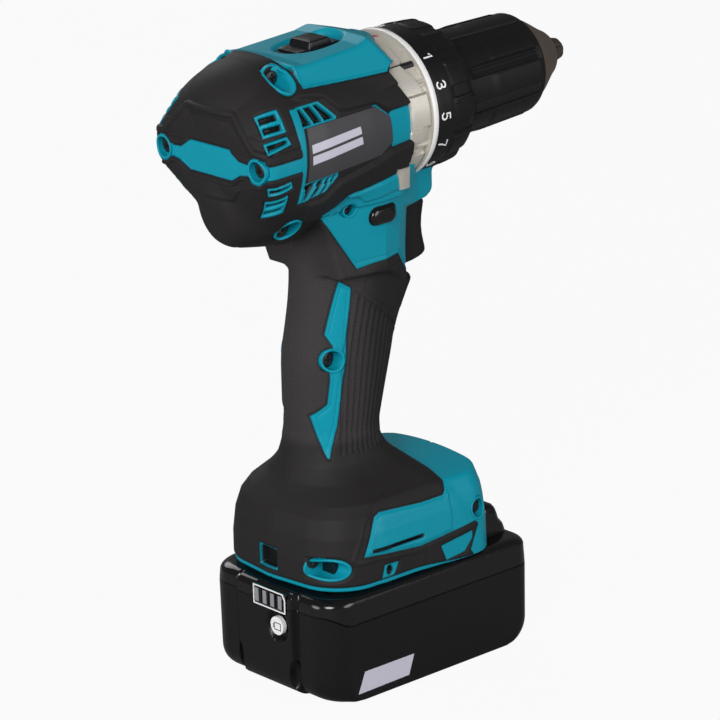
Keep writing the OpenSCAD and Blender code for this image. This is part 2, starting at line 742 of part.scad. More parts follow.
// Four screws through the rim into the housing.
case_screw_back = 20;
module case_screw_places() for (a = [45:90:315]) along(rim_x) rotate([0, 0, a]) translate([rim_r - 2.9,
    0, 0]) children();
module gear_case_screws() color(steel) case_screw_places() {
    translate([0, 0, -case_screw_back]) cylinder(r = 1.5, h = case_screw_back - 0.2, $fn = 24);
    translate([0, 0, -1.8]) cylinder(r = 2.2, h = 1.6, $fn = 24);
}

// ---- Motor ----

module motor_bracket() color(black_plastic) {
    difference() {
        along(bracket_x) cylinder(r = case_r, h = bracket_t);
        along(bracket_x + bracket_t - front_bearing[1]) cylinder(r = front_bearing[0], h = 20);
        along(bracket_x - through) cylinder(r = 5, h = 20);
    }
}

module bearing(size, bore) difference() {
    tube(size[0], bore + run_fit, size[1]);
    for (z = [-0.4, size[1] - 0.4]) translate([0, 0, z])
        tube(size[0] * 0.8, bore + (size[0] - bore) * 0.3, 0.8);
}

module bearings() color(steel) {
    along(bearing_x) bearing(rear_bearing, shaft_r);
    along(bracket_x + bracket_t - front_bearing[1]) bearing(front_bearing, shaft_r);
    along(rim_x + 1) bearing(spindle_bearing, spindle_r);
    along(collar_end - spindle_bearing[1] + 0.6) bearing(spindle_bearing, spindle_r);
}

stator_teeth = 6;
module stator() {
    color(steel) along(stator_x) difference() {
        cylinder(r = stator_r, h = stator_l);
        translate([0, 0, -through]) cylinder(r = rotor_r + 0.5, h = stator_l + 2 * through);
        for (i = [0:stator_teeth - 1]) rotate([0, 0, i * 360 / stator_teeth]) hull()
            for (x = [rotor_r + 3.6, stator_r - 5.6]) translate([x, 0, -through])
                cylinder(r = x / 8, h = stator_l + 2 * through, $fn = 24);
    }
    color(copper) for (x = [stator_x - winding_l, stator_x + stator_l - 0.2]) along(x) difference() {
        tube(stator_r - 3, rotor_r + 1.5, winding_l + 0.2);
        for (i = [0:stator_teeth - 1]) rotate([0, 0, i * 360 / stator_teeth]) translate([rotor_r, -0.8,
            -through])
            cube([20, 1.6, winding_l + 2 * through]);
    }
}

module rotor_shaft() color(steel) {
    l = planets_1_x + gear_w1 - bearing_x - 0.2;
    along(bearing_x + 0.2) cylinder(r = shaft_r, h = l);
    along(planets_1_x) gear(teeth_1[0], module_a, gear_w1);
}

module rotor_core() color(steel) along(stator_x) difference() {
    tube(rotor_r, shaft_r, stator_l);
    for (i = [0:3]) rotate([0, 0, 45 + i * 90]) translate([rotor_r - 3, -5, -through])
        cube([1.2, 10, stator_l + 2 * through]);
}

module fan() color(black_plastic) along(fan_x) {
    difference() {
        union() {
            cylinder(r = 6, h = fan_l);
            translate([0, 0, fan_l - 1.4]) cylinder(r = fan_r, h = 1.4);
            for (i = [0:fan_blades - 1]) rotate([0, 0, i * 360 / fan_blades]) translate([8, -3, 0])
                rotate([0, 0, 24]) translate([-3, 0, 0.5]) cube([fan_r - 7, 1.1, fan_l - 1]);
        }
        translate([0, 0, -through]) cylinder(r = shaft_r, h = fan_l + 2 * through);
        translate([0, 0, -through]) difference() {
            cylinder(r = fan_r + 8, h = fan_l + 2 * through);
            translate([0, 0, -through]) cylinder(r = fan_r, h = fan_l + 4 * through);
        }
    }
}

module sensor_board() color(board_green) along(board_x) difference() {
    tube(stator_r - 2, rotor_r - 2, 1.4);
    for (a = [0:120:240]) rotate([0, 0, a + 20]) translate([stator_r - 4.5, 0,
        -through]) cylinder(r = 1.2, h = 4);
}

// ---- Planetary gears ----

module ring_gear_1() color(steel) along(planets_1_x - 0.3) difference() {
    cylinder(r = ring_r, h = gear_w1 + 0.5);
    ring_teeth(teeth_1[2], module_a, gear_w1 + 0.5);
}

module planet_1(i) color(steel) along(planets_1_x) rotate([0, 0, i * 120])
    translate([centre_distance(teeth_1, module_a), 0, 0]) planet(teeth_1, module_a, gear_w1);
module planet_1a() planet_1(0);
module planet_1b() planet_1(1);
module planet_1c() planet_1(2);

module pins(radius, l) planets_at(radius) cylinder(r = pin_r, h = l, $fn = 32);

module carrier_1() color(steel) {
    along(carrier_1_x) rotate([0, 0, 180 / teeth_2[2]]) gear(teeth_2[2], module_b * 0.985, carrier_t);
    along(planets_1_x) pins(centre_distance(teeth_1, module_a), gear_w1 + axial_play + 1);
    along(carrier_1_x) gear(teeth_2[0], module_b, carrier_t + axial_play + gear_w2);
}

module planets_2() color(steel) along(planets_2_x)
    planets_at(centre_distance(teeth_2, module_b)) planet(teeth_2, module_b, gear_w2);

module carrier_2() color(steel) {
    along(carrier_2_x) cylinder(r = 14.9, h = carrier_t);
    along(planets_2_x) pins(centre_distance(teeth_2, module_b), gear_w2 + axial_play + 1);
    along(carrier_2_x) gear(teeth_3[0], module_a, spindle_plate_x - axial_play - carrier_2_x);
}

module shift_ring() color(steel) along(carrier_1_x) difference() {
    cylinder(r = ring_r - 0.5, h = shift_ring_l);
    ring_teeth(teeth_2[2], module_b, shift_ring_l);
    translate([0, 0, 2]) difference() {
        cylinder(r = ring_r + 2, h = 2.2);
        cylinder(r = ring_r - 2, h = 2.2);
    }
}

module ring_gear_3() color(steel) along(ring_3_x) difference() {
    union() {
        cylinder(r = pin_ring_r + 2.2, h = gear_w2);
        for (a = [0:60:300]) rotate([0, 0, a]) translate([pin_ring_r, 0, 0]) cylinder(r = 1.6,
            h = gear_w2 + 0.5, $fn = 24);
    }
    ring_teeth(teeth_3[2], module_a, gear_w2 + 0.5);
}

module planet_3(i) color(steel) along(planets_3_x) rotate([0, 0, i * 120])
    translate([centre_distance(teeth_3, module_a), 0, 0]) planet(teeth_3, module_a, gear_w2);
module planet_3a() planet_3(0);
module planet_3b() planet_3(1);
module planet_3c() planet_3(2);

module spindle() color(steel) {
    difference() {
        union() {
            along(spindle_plate_x) cylinder(r = 16.2, h = 3.4);
            along(spindle_plate_x) cylinder(r = spindle_r, h = spindle_end - spindle_plate_x);
            along(planets_3_x) pins(centre_distance(teeth_3, module_a), gear_w2 + axial_play + 1);
        }
        along(spindle_end - 14) cylinder(r = 2.5 + run_fit, h = 20);
    }
}

// ---- Clutch ----

spring_wire_r = 1.3;
clutch_gap = 0.1;
plate_x = rim_x + 0.2;
plate_t = 1.6;
nut_drop = 6;
clutch_nut_w = 4;
nut_rest_x = collar_end - 4.4 - 0.4 - clutch_nut_w - nut_drop;
spring_mean_r = neck_r + 0.4 + spring_wire_r + 0.2;

module clutch_pins() color(steel)
    for (a = [0:60:300]) along(spindle_plate_x + 0.2) rotate([0, 0, a + 30]) translate([pin_ring_r, 0, 0])
        cylinder(r = 2, h = case_wall - 0.1, $fn = 24);

module clutch_plate() color(steel) along(plate_x) tube(neck_r + 5.6, neck_r + 0.2, plate_t);

module clutch_nut() color(black_plastic) along(nut_rest_x) difference() {
    tube(collar_r - 3.2 - slide_fit, neck_r + 0.3, clutch_nut_w);
    for (i = [0:7]) rotate([0, 0, i * 45]) translate([collar_r - 4.6, -1, -through]) cube([4, 2, 8]);
}

// Coil swept round the neck, its ends flat against the plate and the nut.
coil_turns = 2.2;
coil_steps = 14;
coil_sides = 6;
module clutch_spring() color(steel) {
    x0 = plate_x + plate_t + spring_wire_r + clutch_gap;
    rise = nut_rest_x - clutch_gap - spring_wire_r - x0;
    rings = floor(coil_turns * coil_steps);
    points = [for (i = [0:rings]) for (k = [0:coil_sides - 1])
        let (a = i * 360 / coil_steps, r = spring_mean_r + spring_wire_r * cos(k * 360 / coil_sides))
        [r * cos(a), r * sin(a), rise * i / rings + spring_wire_r * sin(k * 360 / coil_sides)]];
    sides = [for (i = [0:rings - 1]) for (k = [0:coil_sides - 1])
        let (n = (k + 1) % coil_sides)
        [i * coil_sides + k, i * coil_sides + n, (i + 1) * coil_sides + n, (i + 1) * coil_sides + k]];
    ends = [[for (k = [0:coil_sides - 1]) coil_sides - 1 - k],
        [for (k = [0:coil_sides - 1]) rings * coil_sides + k]];
    along(x0) polyhedron(points, concat(sides, ends));
}

collar_ribs = 18;
module torque_collar() color(black_plastic) along(collar_x) {
    lip_r = neck_r + run_fit + 0.06;
    inner_r = collar_r - 3.2;
    difference() {
        rotate_extrude() polygon([[inner_r, 0], [collar_r - 0.5, 0], [collar_r, 0.6], [collar_r,
            collar_l * 0.42],
            [collar_r - 0.7, collar_l * 0.5], [collar_r - 0.8, collar_l - 1], [collar_r - 1.6, collar_l],
            [lip_r, collar_l], [lip_r, collar_l - 4], [inner_r, collar_l - 4]]);
        for (i = [0:collar_ribs - 1]) rotate([0, 0, i * 360 / collar_ribs]) translate([collar_r + 3.2, 0,
            collar_l * 0.46])
            cylinder(r = 4.3, h = collar_l, $fn = 32);
    }
}

// ---- Chuck ----

// Places one jaw: its rod slopes to the axis and passes jaw_offset from it at the tip.
module jaw_frame(i) along(tip_x) rotate([0, 0, 180 + i * 120]) translate([jaw_offset, 0, 0]) rotate([0,
    -jaw_angle, 0]) children();

module jaw(i) color(steel) {
    intersection() {
        jaw_frame(i) translate([0, 0, -jaw_l]) cylinder(r = jaw_r, h = jaw_l + 3);
        along(tip_x - jaw_l - 10) rotate([0, 0, 180 + i * 120]) linear_extrude(jaw_l + 10)
            polygon([[jaw_fit, 0], polar(60, 60), polar(60, -60)]);
        union() {
            along(tip_x - 90) cylinder(r = 40, h = 88.5);
            along(tip_x - 1.6) cylinder(r1 = 4.2, r2 = 2.8, h = 1.6);
        }
        // the rear corner is bevelled, so that the open jaw stays inside the sleeve
        jaw_frame(i) translate([0, 0, jaw_travel]) rotate([0, jaw_angle, 0]) translate([-jaw_offset, 0,
            -90])
            cylinder(r = body_r - 0.3, h = 140);
    }
}
module jaw_1() jaw(0);
module jaw_2() jaw(1);
module jaw_3() jaw(2);

function rod_reach(x) = jaw_offset + (tip_x - x) * tan(jaw_angle) + jaw_r / cos(jaw_angle);

module chuck_body() color(bronze) {
    difference() {
        along(chuck_x) rotate_extrude() polygon([[0, 0], [body_r - 1, 0], [body_r - 0.1, 1],
            [body_r - 0.1, nut_x - chuck_x - 0.3], [rod_reach(nut_x) - 0.9, nut_x - chuck_x - 0.3],
            [rod_reach(nut_x + nut_w) - 0.9, nut_x + nut_w - chuck_x + 0.3],
            [body_r - 0.1, nut_x + nut_w - chuck_x + 0.3], [body_r - 0.1, sleeve_end - chuck_x + 0.3],
            [sleeve_front_r - 0.5, sleeve_end - chuck_x + 0.3], [sleeve_front_r - 2.6,
                sleeve_end - chuck_x + 7],
            [sleeve_front_r - 5.8, sleeve_end - chuck_x + 13], [sleeve_front_r - 9.2, nose_x - chuck_x - 3],
            [sleeve_front_r - 12, nose_x - chuck_x], [0, nose_x - chuck_x]]);
        along(chuck_x - through) cylinder(r = spindle_r, h = spindle_end - chuck_x + through);
        along(spindle_end - through) cylinder(r = bit_d / 2 + 0.3, h = 90);
        for (i = [0:2]) jaw_frame(i) translate([0, 0, -jaw_l - jaw_travel - 4]) cylinder(r = jaw_r + 0.1,
            h = 90);
    }
}

module chuck_screw() color(steel) {
    along(spindle_end - 12) cylinder(r = 2.5, h = 12);
    along(spindle_end) difference() {
        cylinder(r = 4.6, h = 2.6);
        translate([0, 0, 1]) cylinder(r = 2, h = 4, $fn = 6);
    }
}

module chuck_nut() color(steel) along(nut_x) difference() {
    cylinder(r = body_r + 0.6, h = nut_w);
    translate([0, 0, -0.01]) cylinder(r1 = rod_reach(nut_x) + 0.1, r2 = rod_reach(nut_x + nut_w) + 0.1,
        h = nut_w + 0.02);
}

sleeve_flutes = 12;
module chuck_sleeve() color(black_plastic) along(sleeve_x) {
    in_r = body_r + 0.1;
    difference() {
        rotate_extrude() polygon([[in_r, 0], [sleeve_r - 0.6, 0], [sleeve_r, 1], [sleeve_r - 0.3,
            sleeve_l * 0.45],
            [sleeve_front_r + 0.2, sleeve_l - 2.4], [sleeve_front_r - 0.1, sleeve_l - 0.8],
                [sleeve_front_r - 0.9, sleeve_l],
            [in_r, sleeve_l]]);
        translate([0, 0, nut_x - sleeve_x - 0.05]) cylinder(r = body_r + 0.62, h = nut_w + 0.1);
        for (i = [0:sleeve_flutes - 1]) rotate([0, 0, i * 360 / sleeve_flutes])
            translate([sleeve_r - 0.9, -0.9, sleeve_l * (i % 2 == 0 ? 0.22 : 0.3)]) cube([3, 1.8,
                sleeve_l]);
    }
}

// ---- Trigger, direction lever and speed selector ----

module trigger() color(black_rubber) {
    rest = trigger_front_x;
    difference() {
        union() {
            side = [[trigger_x - 4, trigger_z + 1], [rest - 8, trigger_z], [rest - 0.8, trigger_z + 0.6],
                [rest, trigger_z + 2.4],
                [rest - 1.6, trigger_z + 8], [rest - 2.2, trigger_z + 14], [rest - 1, trigger_z + 21],
                    [rest + 0.5, trigger_z + 26],
                [rest - 0.4, trigger_z + trigger_h - 1.4], [trigger_x, trigger_z + trigger_h],
                    [trigger_x - 4, trigger_z + trigger_h]];
            intersection() {
                side_prism(side, -trigger_w / 2, trigger_w / 2);
                hull() for (s = [-1, 1]) {
                    translate([trigger_x - 6, s * (trigger_w / 2 - 1), 150]) cylinder(r = 1, h = 50,
                        $fn = 24);
                    translate([rest - 4.5, s * (trigger_w / 2 - 5), 150]) cylinder(r = 5, h = 50, $fn = 32);
                }
            }
        }
        translate([trigger_x - 6, -trigger_w / 2 + 2, trigger_z + 3]) cube([6, trigger_w - 4,
            trigger_h - 6]);
    }
    translate([switch_front_x + 1, 0, plunger_z]) rotate([0, 90, 0]) cylinder(r = plunger_r,
        h = trigger_x - switch_front_x - 0.5);
}

switch_front_x = 3;
plunger_z = 178;
plunger_r = 2.4;
module switch_body() color(black_plastic) {
    difference() {
        union() {
            translate([-21, -10, 162]) cube([switch_front_x + 21, 20, 21]);
            translate([-18, -8, 183]) cube([18, 16, 2]);
        }
        translate([switch_front_x - 8, 0, plunger_z]) rotate([0, 90,
            0]) cylinder(r = plunger_r + run_fit + 0.1, h = 12);
        translate([-16, -11, 170]) cube([10, 1.6, 8]);
        translate([-16, 9.4, 170]) cube([10, 1.6, 8]);
    }
}

trigger_coils = 4;
module trigger_spring() color(steel) {
    length = trigger_x - switch_front_x - 0.8;
    for (i = [0:trigger_coils - 1]) translate([switch_front_x + 0.6 + i * length / trigger_coils, 0,
        plunger_z]) rotate([0, 90, 0])
        tube(plunger_r + 1.5, plunger_r + 0.3, 0.9);
}

module direction_lever() color(black_gloss) {
    reach = 22 + 1.6;
    intersection() {
        lever_channel(0);
        translate([lever_x - 20, -reach, lever_z - 20]) cube([40, 2 * reach, 40]);
    }
}

module speed_selector() color(black_plastic) {
    barrel() {
        hull() {
            translate([selector_x - 9, -7, barrel_r - 3.8]) cube([12, 14, 1.2]);
            translate([selector_x - 6, -6.4, barrel_r - 3.8]) cube([8.4, 12.8, 4.2]);
        }
        translate([selector_x - 13, -6, barrel_r - 3.9]) cube([19, 12, 1]);
        translate([carrier_1_x + 2.3, -1.2, ring_r - 1.6]) cube([1.6, 2.4, case_r - ring_r + 4.2]);
        translate([selector_x - 2, -2, case_r + 1.2]) cube([carrier_1_x - selector_x + 5.9, 4, 1.6]);
        translate([selector_x - 4, -2.4, case_r + 1.2]) cube([5, 4.8, barrel_r - case_r - 4.6]);
    }
}

// ---- Foot electronics ----

module controller() color(board_green) {
    difference() {
        translate([-36, -22, roof_z + 6]) cube([50, 44, 1.6]);
        for (s = [-1, 1]) translate([-30, s * 18, roof_z]) cylinder(r = 1.6, h = 20, $fn = 24);
    }
    translate([-20, -14, roof_z + 7.6]) cube([24, 28, 6]);
}

terminal_x = -33;
terminal_l = 22;
module terminal_slot() translate([terminal_x - 0.1, -16.1, roof_z - 1]) cube([terminal_l + 0.2, 32.2,
    shell_wall + 2]);

module terminal_block() color(black_plastic) {
    translate([terminal_x, -16, roof_z + 0.2]) cube([terminal_l, 32, shell_wall - 0.2]);
    translate([terminal_x - 2, -18, roof_z + shell_wall]) cube([terminal_l + 4, 36, 1.6]);
    for (s = [-1, 1]) translate([-32, s * blade_y - blade_t / 2, roof_z - 6.4]) cube([14, blade_t, 7]);
    translate([-30, -blade_t / 2, roof_z - 5.4]) cube([10, blade_t, 6]);
}

// ---- Battery ----

case_round = 12;
case_front_round = 7;
case_wall_t = 2.2;
lobe_w = 16.6;
module battery_outline(d) {
    x0 = -battery_l / 2 - 0.5 + d;
    x1 = battery_l / 2 - 0.5 - d;
    difference() {
        polygon(plan(x0, x1, battery_w / 2 - d, case_round - d, case_front_round - d));
        // hollow flutes beside the middle of the rear end
        if (d == 0) for (s = [-1, 1]) translate([x0 - 2.2, s * (lobe_w + 4)]) circle(r = 4.2, $fn = 32);
    }
}

module battery_shape(z0, z1, d) translate([0, 0, z0]) linear_extrude(z1 - z0) battery_outline(d);

// The lower front edge is rounded.
module front_round() {
    r = 9;
    x1 = battery_l / 2 - 0.5;
    difference() {
        translate([x1 - r, -60, -1]) cube([r + 1, 120, r + 1]);
        translate([x1 - r, 0, r]) rotate([90, 0, 0]) cylinder(r = r, h = 140, center = true);
    }
}

module battery_lower() color(black_gloss) {
    difference() {
        battery_shape(0, seam_z, 0);
        battery_shape(case_wall_t, seam_z + through, case_wall_t);
        front_round();
        battery_screw_cuts();
        gauge_pit();
    }
    difference() {
        battery_screw_places() translate([0, 0, 1]) cylinder(r = post_r, h = seam_z - 1, $fn = 24);
        battery_screw_cuts();
    }
}

module battery_screw_cuts() battery_screw_places() translate([0, 0, -through]) {
    cylinder(r = 2.2, h = 2 + through, $fn = 24);
    cylinder(r = case_screw_r + run_fit, h = case_screw_l + 2, $fn = 24);
}

gauge_y = -4;
gauge_w = 19;
push_y = -8.4;
push_z = 29.4;
push_r = 3.8;
rear_x = -battery_l / 2 - 0.5;
module gauge_pit() {
    translate([rear_x - 1, push_y, push_z]) rotate([0, 90, 0]) cylinder(r = push_r + slide_fit, h = 8,
        $fn = 32);
    translate([rear_x - 1, gauge_y - gauge_w / 2 - 0.1, 35.4]) cube([2.2, gauge_w + 0.2, 8.4]);
}

module battery_upper() color(black_gloss) {
    lip_z = battery_h + rail_stem_h;
    difference() {
        union() {
            battery_shape(seam_z, battery_h, 0);
            translate([rail_back, -rail_w / 2 + rail_lip, battery_h - 1]) cube([rail_front - rail_back,
                rail_w - 2 * rail_lip, rail_h + 1]);
            translate([rail_back, -rail_w / 2, lip_z]) cube([rail_front - rail_back, rail_w, rail_lip_h]);
            // raised front that carries the latch
            hull() {
                translate([40, -25, battery_h - 1]) cube([4, 50, 14]);
                translate([battery_l / 2 - 8, -22, battery_h - 1]) cube([5, 44, 4]);
                translate([46, -23, battery_h - 1]) cube([2, 46, 12]);
            }
        }
        difference() {
            battery_shape(seam_z - through, battery_h - case_wall_t, case_wall_t);
            battery_screw_places() cylinder(r = post_r, h = 60, $fn = 24);
        }
        battery_screw_cuts();
        translate([rail_back + 6, -20, battery_h - 4]) cube([rail_front - rail_back - 12, 40,
            rail_h + 1.4]);
        for (y = [-blade_y, 0, blade_y]) translate([rail_back - 1, y - 1.5, battery_h + 4.8]) cube([30,
            3, 20]);
        latch_pocket(slide_fit);
        translate([39, -6, battery_h + 6]) cube([4, 12, 20]);
        gauge_pit();
        front_round();
    }
}

post_r = 2.7;
case_screw_r = 1.2;
case_screw_l = 36;
cell_l = battery_w - 9.4;
module battery_screw_places() for (s = [-1, 1]) {
    translate([rear_x + 6.2, s * (battery_w / 2 - 8.2), 0]) children();
    translate([rear_x + battery_l - 5, s * (battery_w / 2 - 6), 0]) children();
}
module battery_screws() color(steel) battery_screw_places() {
    translate([0, 0, 0.4]) cylinder(r = 2.1, h = 1.5, $fn = 24);
    translate([0, 0, 0.4]) cylinder(r = case_screw_r, h = case_screw_l - 0.4, $fn = 24);
}

module battery_cells() {
    pitch = 2 * cell_r + 0.4;
    for (i = [0:4]) for (k = [0:1])
        translate([(i - 2) * pitch + 0.8, 0,
            case_wall_t + 0.4 + cell_r + k * (2 * cell_r + 0.3)]) rotate([90, 0, 0]) {
            color("#C9A227") translate([0, 0, -cell_l / 2]) cylinder(r = cell_r, h = cell_l, $fn = 32);
            color(steel) translate([0, 0, -cell_l / 2 - 0.5]) cylinder(r = cell_r * 0.3, h = cell_l + 1,
                $fn = 24);
        }
}

module battery_board() {
    z = case_wall_t + 0.4 + 4 * cell_r + 0.3 + 0.6;
    color(board_green) translate([rail_back + 8, -18, z]) cube([rail_front - rail_back - 16, 36, 1.6]);
    color(copper) for (s = [-1, 1]) for (k = [-1, 1])
        translate([rail_back + 10, s * blade_y + k * 1.1 - 0.35, z + 1.6]) cube([18, 0.7,
            battery_h + rail_h - 3 - z - 1.6]);
}

latch_w = 30;
latch_x = battery_l / 2 - 11;
module latch_pocket(g) {
    translate([latch_x - g, -latch_w / 2 - g, battery_h - 8]) cube([20, latch_w + 2 * g, 30]);
}

module latch_button() color(black_plastic) {
    intersection() {
        translate([latch_x, -latch_w / 2, battery_h - 3.6]) cube([9.4, latch_w, 18]);
        hull() {
            translate([38, -latch_w / 2, battery_h - 4]) cube([4, latch_w, 16.6]);
            translate([latch_x, -latch_w / 2, battery_h - 4]) cube([9.2, latch_w, 6.6]);
        }
    }
}

module gauge_window() {
    color("#8C8C90") translate([rear_x - 0.2, gauge_y - gauge_w / 2, 35.5]) cube([1.3, gauge_w, 8.2]);
    color(white) for (i = [0:3]) translate([rear_x - 0.5, gauge_y - gauge_w / 2 + 1.6 + i * 4.2,
        36.6]) cube([0.4, 3.2, 6]);
}

module gauge_button() color(white)
    translate([rear_x - 0.6, push_y, push_z]) rotate([0, 90, 0]) cylinder(r = push_r, h = 1.8);

housing_right();
housing_left();
grip_right();
grip_left();
rear_cover();
rear_cover_grip();
housing_screws();
rear_screws();
gear_case();
gear_case_screws();
motor_bracket();
bearings();
stator();
sensor_board();
controller();
switch_body();
terminal_block();
lamp();
side_nuts();
ring_gear_1();
ring_gear_3();
clutch_pins();
clutch_plate();
clutch_spring();
clutch_nut();
torque_collar();
rotor_shaft();
rotor_core();
fan();
planet_1a();
planet_1b();
planet_1c();
carrier_1();
planets_2();
carrier_2();
shift_ring();
planet_3a();
planet_3b();
planet_3c();
spindle();
chuck_body();
chuck_screw();
chuck_nut();
chuck_sleeve();
jaw_1();
jaw_2();
jaw_3();
trigger();
trigger_spring();
direction_lever();
speed_selector();
battery_lower();
battery_upper();
battery_cells();
battery_board();
battery_screws();
latch_button();
gauge_window();
gauge_button();
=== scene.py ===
"""Cordless drill driver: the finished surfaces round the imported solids.

Everything is in metres in the frame of the solids: X toward the chuck, Y to the left, Z up, the
battery standing on Z = 0. Shapes are worked out in millimetres and scaled when a mesh is made.
"""
import json
import math

import bpy
import numpy as np
from mathutils import Matrix, Vector
from bpy.props import FloatProperty, FloatVectorProperty, PointerProperty


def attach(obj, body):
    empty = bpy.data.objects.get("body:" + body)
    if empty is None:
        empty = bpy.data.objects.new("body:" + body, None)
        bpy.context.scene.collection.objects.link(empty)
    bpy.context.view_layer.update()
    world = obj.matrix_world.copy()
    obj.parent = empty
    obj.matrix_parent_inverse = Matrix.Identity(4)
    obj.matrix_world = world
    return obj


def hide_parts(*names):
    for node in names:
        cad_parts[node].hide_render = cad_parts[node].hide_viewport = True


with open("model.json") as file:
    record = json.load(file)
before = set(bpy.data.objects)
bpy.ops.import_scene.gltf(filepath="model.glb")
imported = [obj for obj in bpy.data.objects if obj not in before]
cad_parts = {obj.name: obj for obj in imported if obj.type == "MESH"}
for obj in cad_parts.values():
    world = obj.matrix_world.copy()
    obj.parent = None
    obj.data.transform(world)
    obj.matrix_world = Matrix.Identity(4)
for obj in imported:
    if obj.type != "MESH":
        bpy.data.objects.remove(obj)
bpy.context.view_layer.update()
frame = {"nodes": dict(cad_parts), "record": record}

bl_info = {
    "name": "Cordless drill driver",
    "version": (1, 0, 0),
    "blender": (4, 5, 0),
    "location": "View3D > Sidebar > Drill",
    "description": "Builds the finished housing, battery, chuck and stage of a cordless drill driver",
    "category": "Object",
}

MM = 0.001
SPINDLE_Z = 226.0  # height of the spindle's axis above the origin
TILT = math.radians(3.0)  # by which that axis rises toward the chuck
COS_T, SIN_T = math.cos(TILT), math.sin(TILT)
TAU = 2 * math.pi


def linear(text):
    """sRGB hex colour to a linear RGBA tuple."""
    parts = [int(text[i:i + 2], 16) / 255 for i in (1, 3, 5)]
    return tuple(p / 12.92 if p <= 0.04045 else ((p + 0.055) / 1.055) ** 2.4 for p in parts) + (1.0,)


# ---- Sizes and colours that a user would change ----

def length(name, text, default, low, high):
    """A length in metres with its limits."""
    return FloatProperty(name=name, description=text, default=default, min=low, max=high, unit="LENGTH")


def colour(name, text, default):
    """A colour whose default is an sRGB hex text."""
    return FloatVectorProperty(name=name, description=text, default=linear(default), size=4,
                               subtype="COLOR", min=0.0, max=1.0)


class DrillSizes(bpy.types.PropertyGroup):
    """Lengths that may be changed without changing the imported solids."""
    grain: length("Grain", "Width of one grain of the moulded rubber", 0.0006, 0.0002, 0.003)
    numeral: length("Numeral", "Height of the numbers on the torque collar", 0.0042, 0.002, 0.006)
    camera_distance: length("Camera distance", "From the middle of the tool to the camera", 1.51, 0.8, 4.0)


class DrillColours(bpy.types.PropertyGroup):
    """Colours of the mouldings, metals, print and floor."""
    shell: colour("Shell", "Moulded ABS of the housing", "#0A8DA2")
    rubber: colour("Rubber", "Soft grip moulded over the housing", "#242223")
    plastic: colour("Plastic", "Controls, collar and sleeve", "#151416")
    gloss: colour("Battery", "Glossy battery case", "#0E0D0F")
    casting: colour("Casting", "Gear case", "#CBC6BC")
    nose: colour("Chuck nose", "Steel body of the chuck", "#64584F")
    print: colour("Print", "Numbers on the torque collar", "#F2F2F2")
    floor: colour("Floor", "Floor and backdrop", "#FFFFFF")


# ---- Arrays, distances and meshes ----

def smin(a, b, k):
    """Smaller of two distances, rounded over a width k where they meet."""
    h = np.maximum(k - np.abs(a - b), 0.0) / k
    return np.minimum(a, b) - h * h * k * 0.25


def smax(a, b, k):
    """Larger of two distances, rounded over a width k where they meet."""
    return -smin(-a, -b, k)


def step(x, low, high):
    """Rises smoothly from 0 at low to 1 at high."""
    t = np.clip((x - low) / (high - low), 0.0, 1.0)
    return t * t * (3 - 2 * t)


def ridge(d, half, soft=0.35):
    """1 within half of a line, falling to 0 over soft."""
    return 1.0 - step(np.abs(d), half, half + soft)


def polygon(u, v, points):
    """Signed distance from (u, v) to a closed polygon: the nearest edge, negative inside."""
    pts = np.asarray(points, float)
    best = np.full(np.shape(u), 1e9)
    inside = np.ones(np.shape(u))
    for (x0, y0), (x1, y1) in zip(pts, np.roll(pts, -1, axis=0)):
        ex, ey = x1 - x0, y1 - y0
        wx, wy = u - x0, v - y0
        t = np.clip((wx * ex + wy * ey) / (ex * ex + ey * ey), 0.0, 1.0)
        best = np.minimum(best, (wx - ex * t) ** 2 + (wy - ey * t) ** 2)
        c = (v >= y0) == (v < y1)
        side = ex * wy > ey * wx
        inside = np.where(c & (side == (y1 > y0)), -inside, inside)
    return inside * np.sqrt(best)


def polyline(u, v, points):
    """Distance from (u, v) to an open line of points."""
    best = np.full(np.shape(u), 1e9)
    for (x0, y0), (x1, y1) in zip(points[:-1], points[1:]):
        ex, ey = x1 - x0, y1 - y0
        t = np.clip(((u - x0) * ex + (v - y0) * ey) / (ex * ex + ey * ey), 0.0, 1.0)
        best = np.minimum(best, (u - x0 - ex * t) ** 2 + (v - y0 - ey * t) ** 2)
    return np.sqrt(best)


def slot_distance(u, v, u0, u1, v0, v1, r):
    """Signed distance to a rectangle with rounded corners."""
    qx = np.abs(u - (u0 + u1) / 2) - (u1 - u0) / 2 + r
    qy = np.abs(v - (v0 + v1) / 2) - (v1 - v0) / 2 + r
    return np.hypot(np.maximum(qx, 0), np.maximum(qy, 0)) + np.minimum(np.maximum(qx, qy), 0) - r


def to_barrel(p):
    """World millimetres to the barrel's frame: along the spindle, to the left, up from it."""
    x, z = p[..., 0], p[..., 2] - SPINDLE_Z
    return np.stack([x * COS_T + z * SIN_T, p[..., 1], -x * SIN_T + z * COS_T], -1)


def from_barrel(b):
    """The barrel's frame back to world millimetres."""
    x, z = b[..., 0], b[..., 2]
    return np.stack([x * COS_T - z * SIN_T, b[..., 1], x * SIN_T + z * COS_T + SPINDLE_Z], -1)


def turn_only(way):
    """A direction in the barrel's frame as a direction in the world."""
    return from_barrel(np.asarray(way, float)) - (0, 0, SPINDLE_Z)


def around(b):
    """Angle in degrees from the top of the barrel toward either side, and the radius."""
    return np.degrees(np.arctan2(np.abs(b[..., 1]), b[..., 2])), np.hypot(b[..., 1], b[..., 2])


def sweep_faces(rows, cols, wrap=True, flip=False):
    """Quads between neighbouring rows of a grid, joined round when wrap is true."""
    i = np.arange(rows - 1)[:, None]
    j = np.arange(cols if wrap else cols - 1)[None, :]
    k = (j + 1) % cols
    here, there = i * cols, (i + 1) * cols
    quads = np.stack(np.broadcast_arrays(here + j, here + k, there + k, there + j), -1).reshape(-1, 4)
    return quads[:, ::-1] if flip else quads


def part(shape, index=0, layers=None):
    """A shape of (vertices, faces) with the index of its material and the values at its points."""
    return (*shape, index, layers or {})


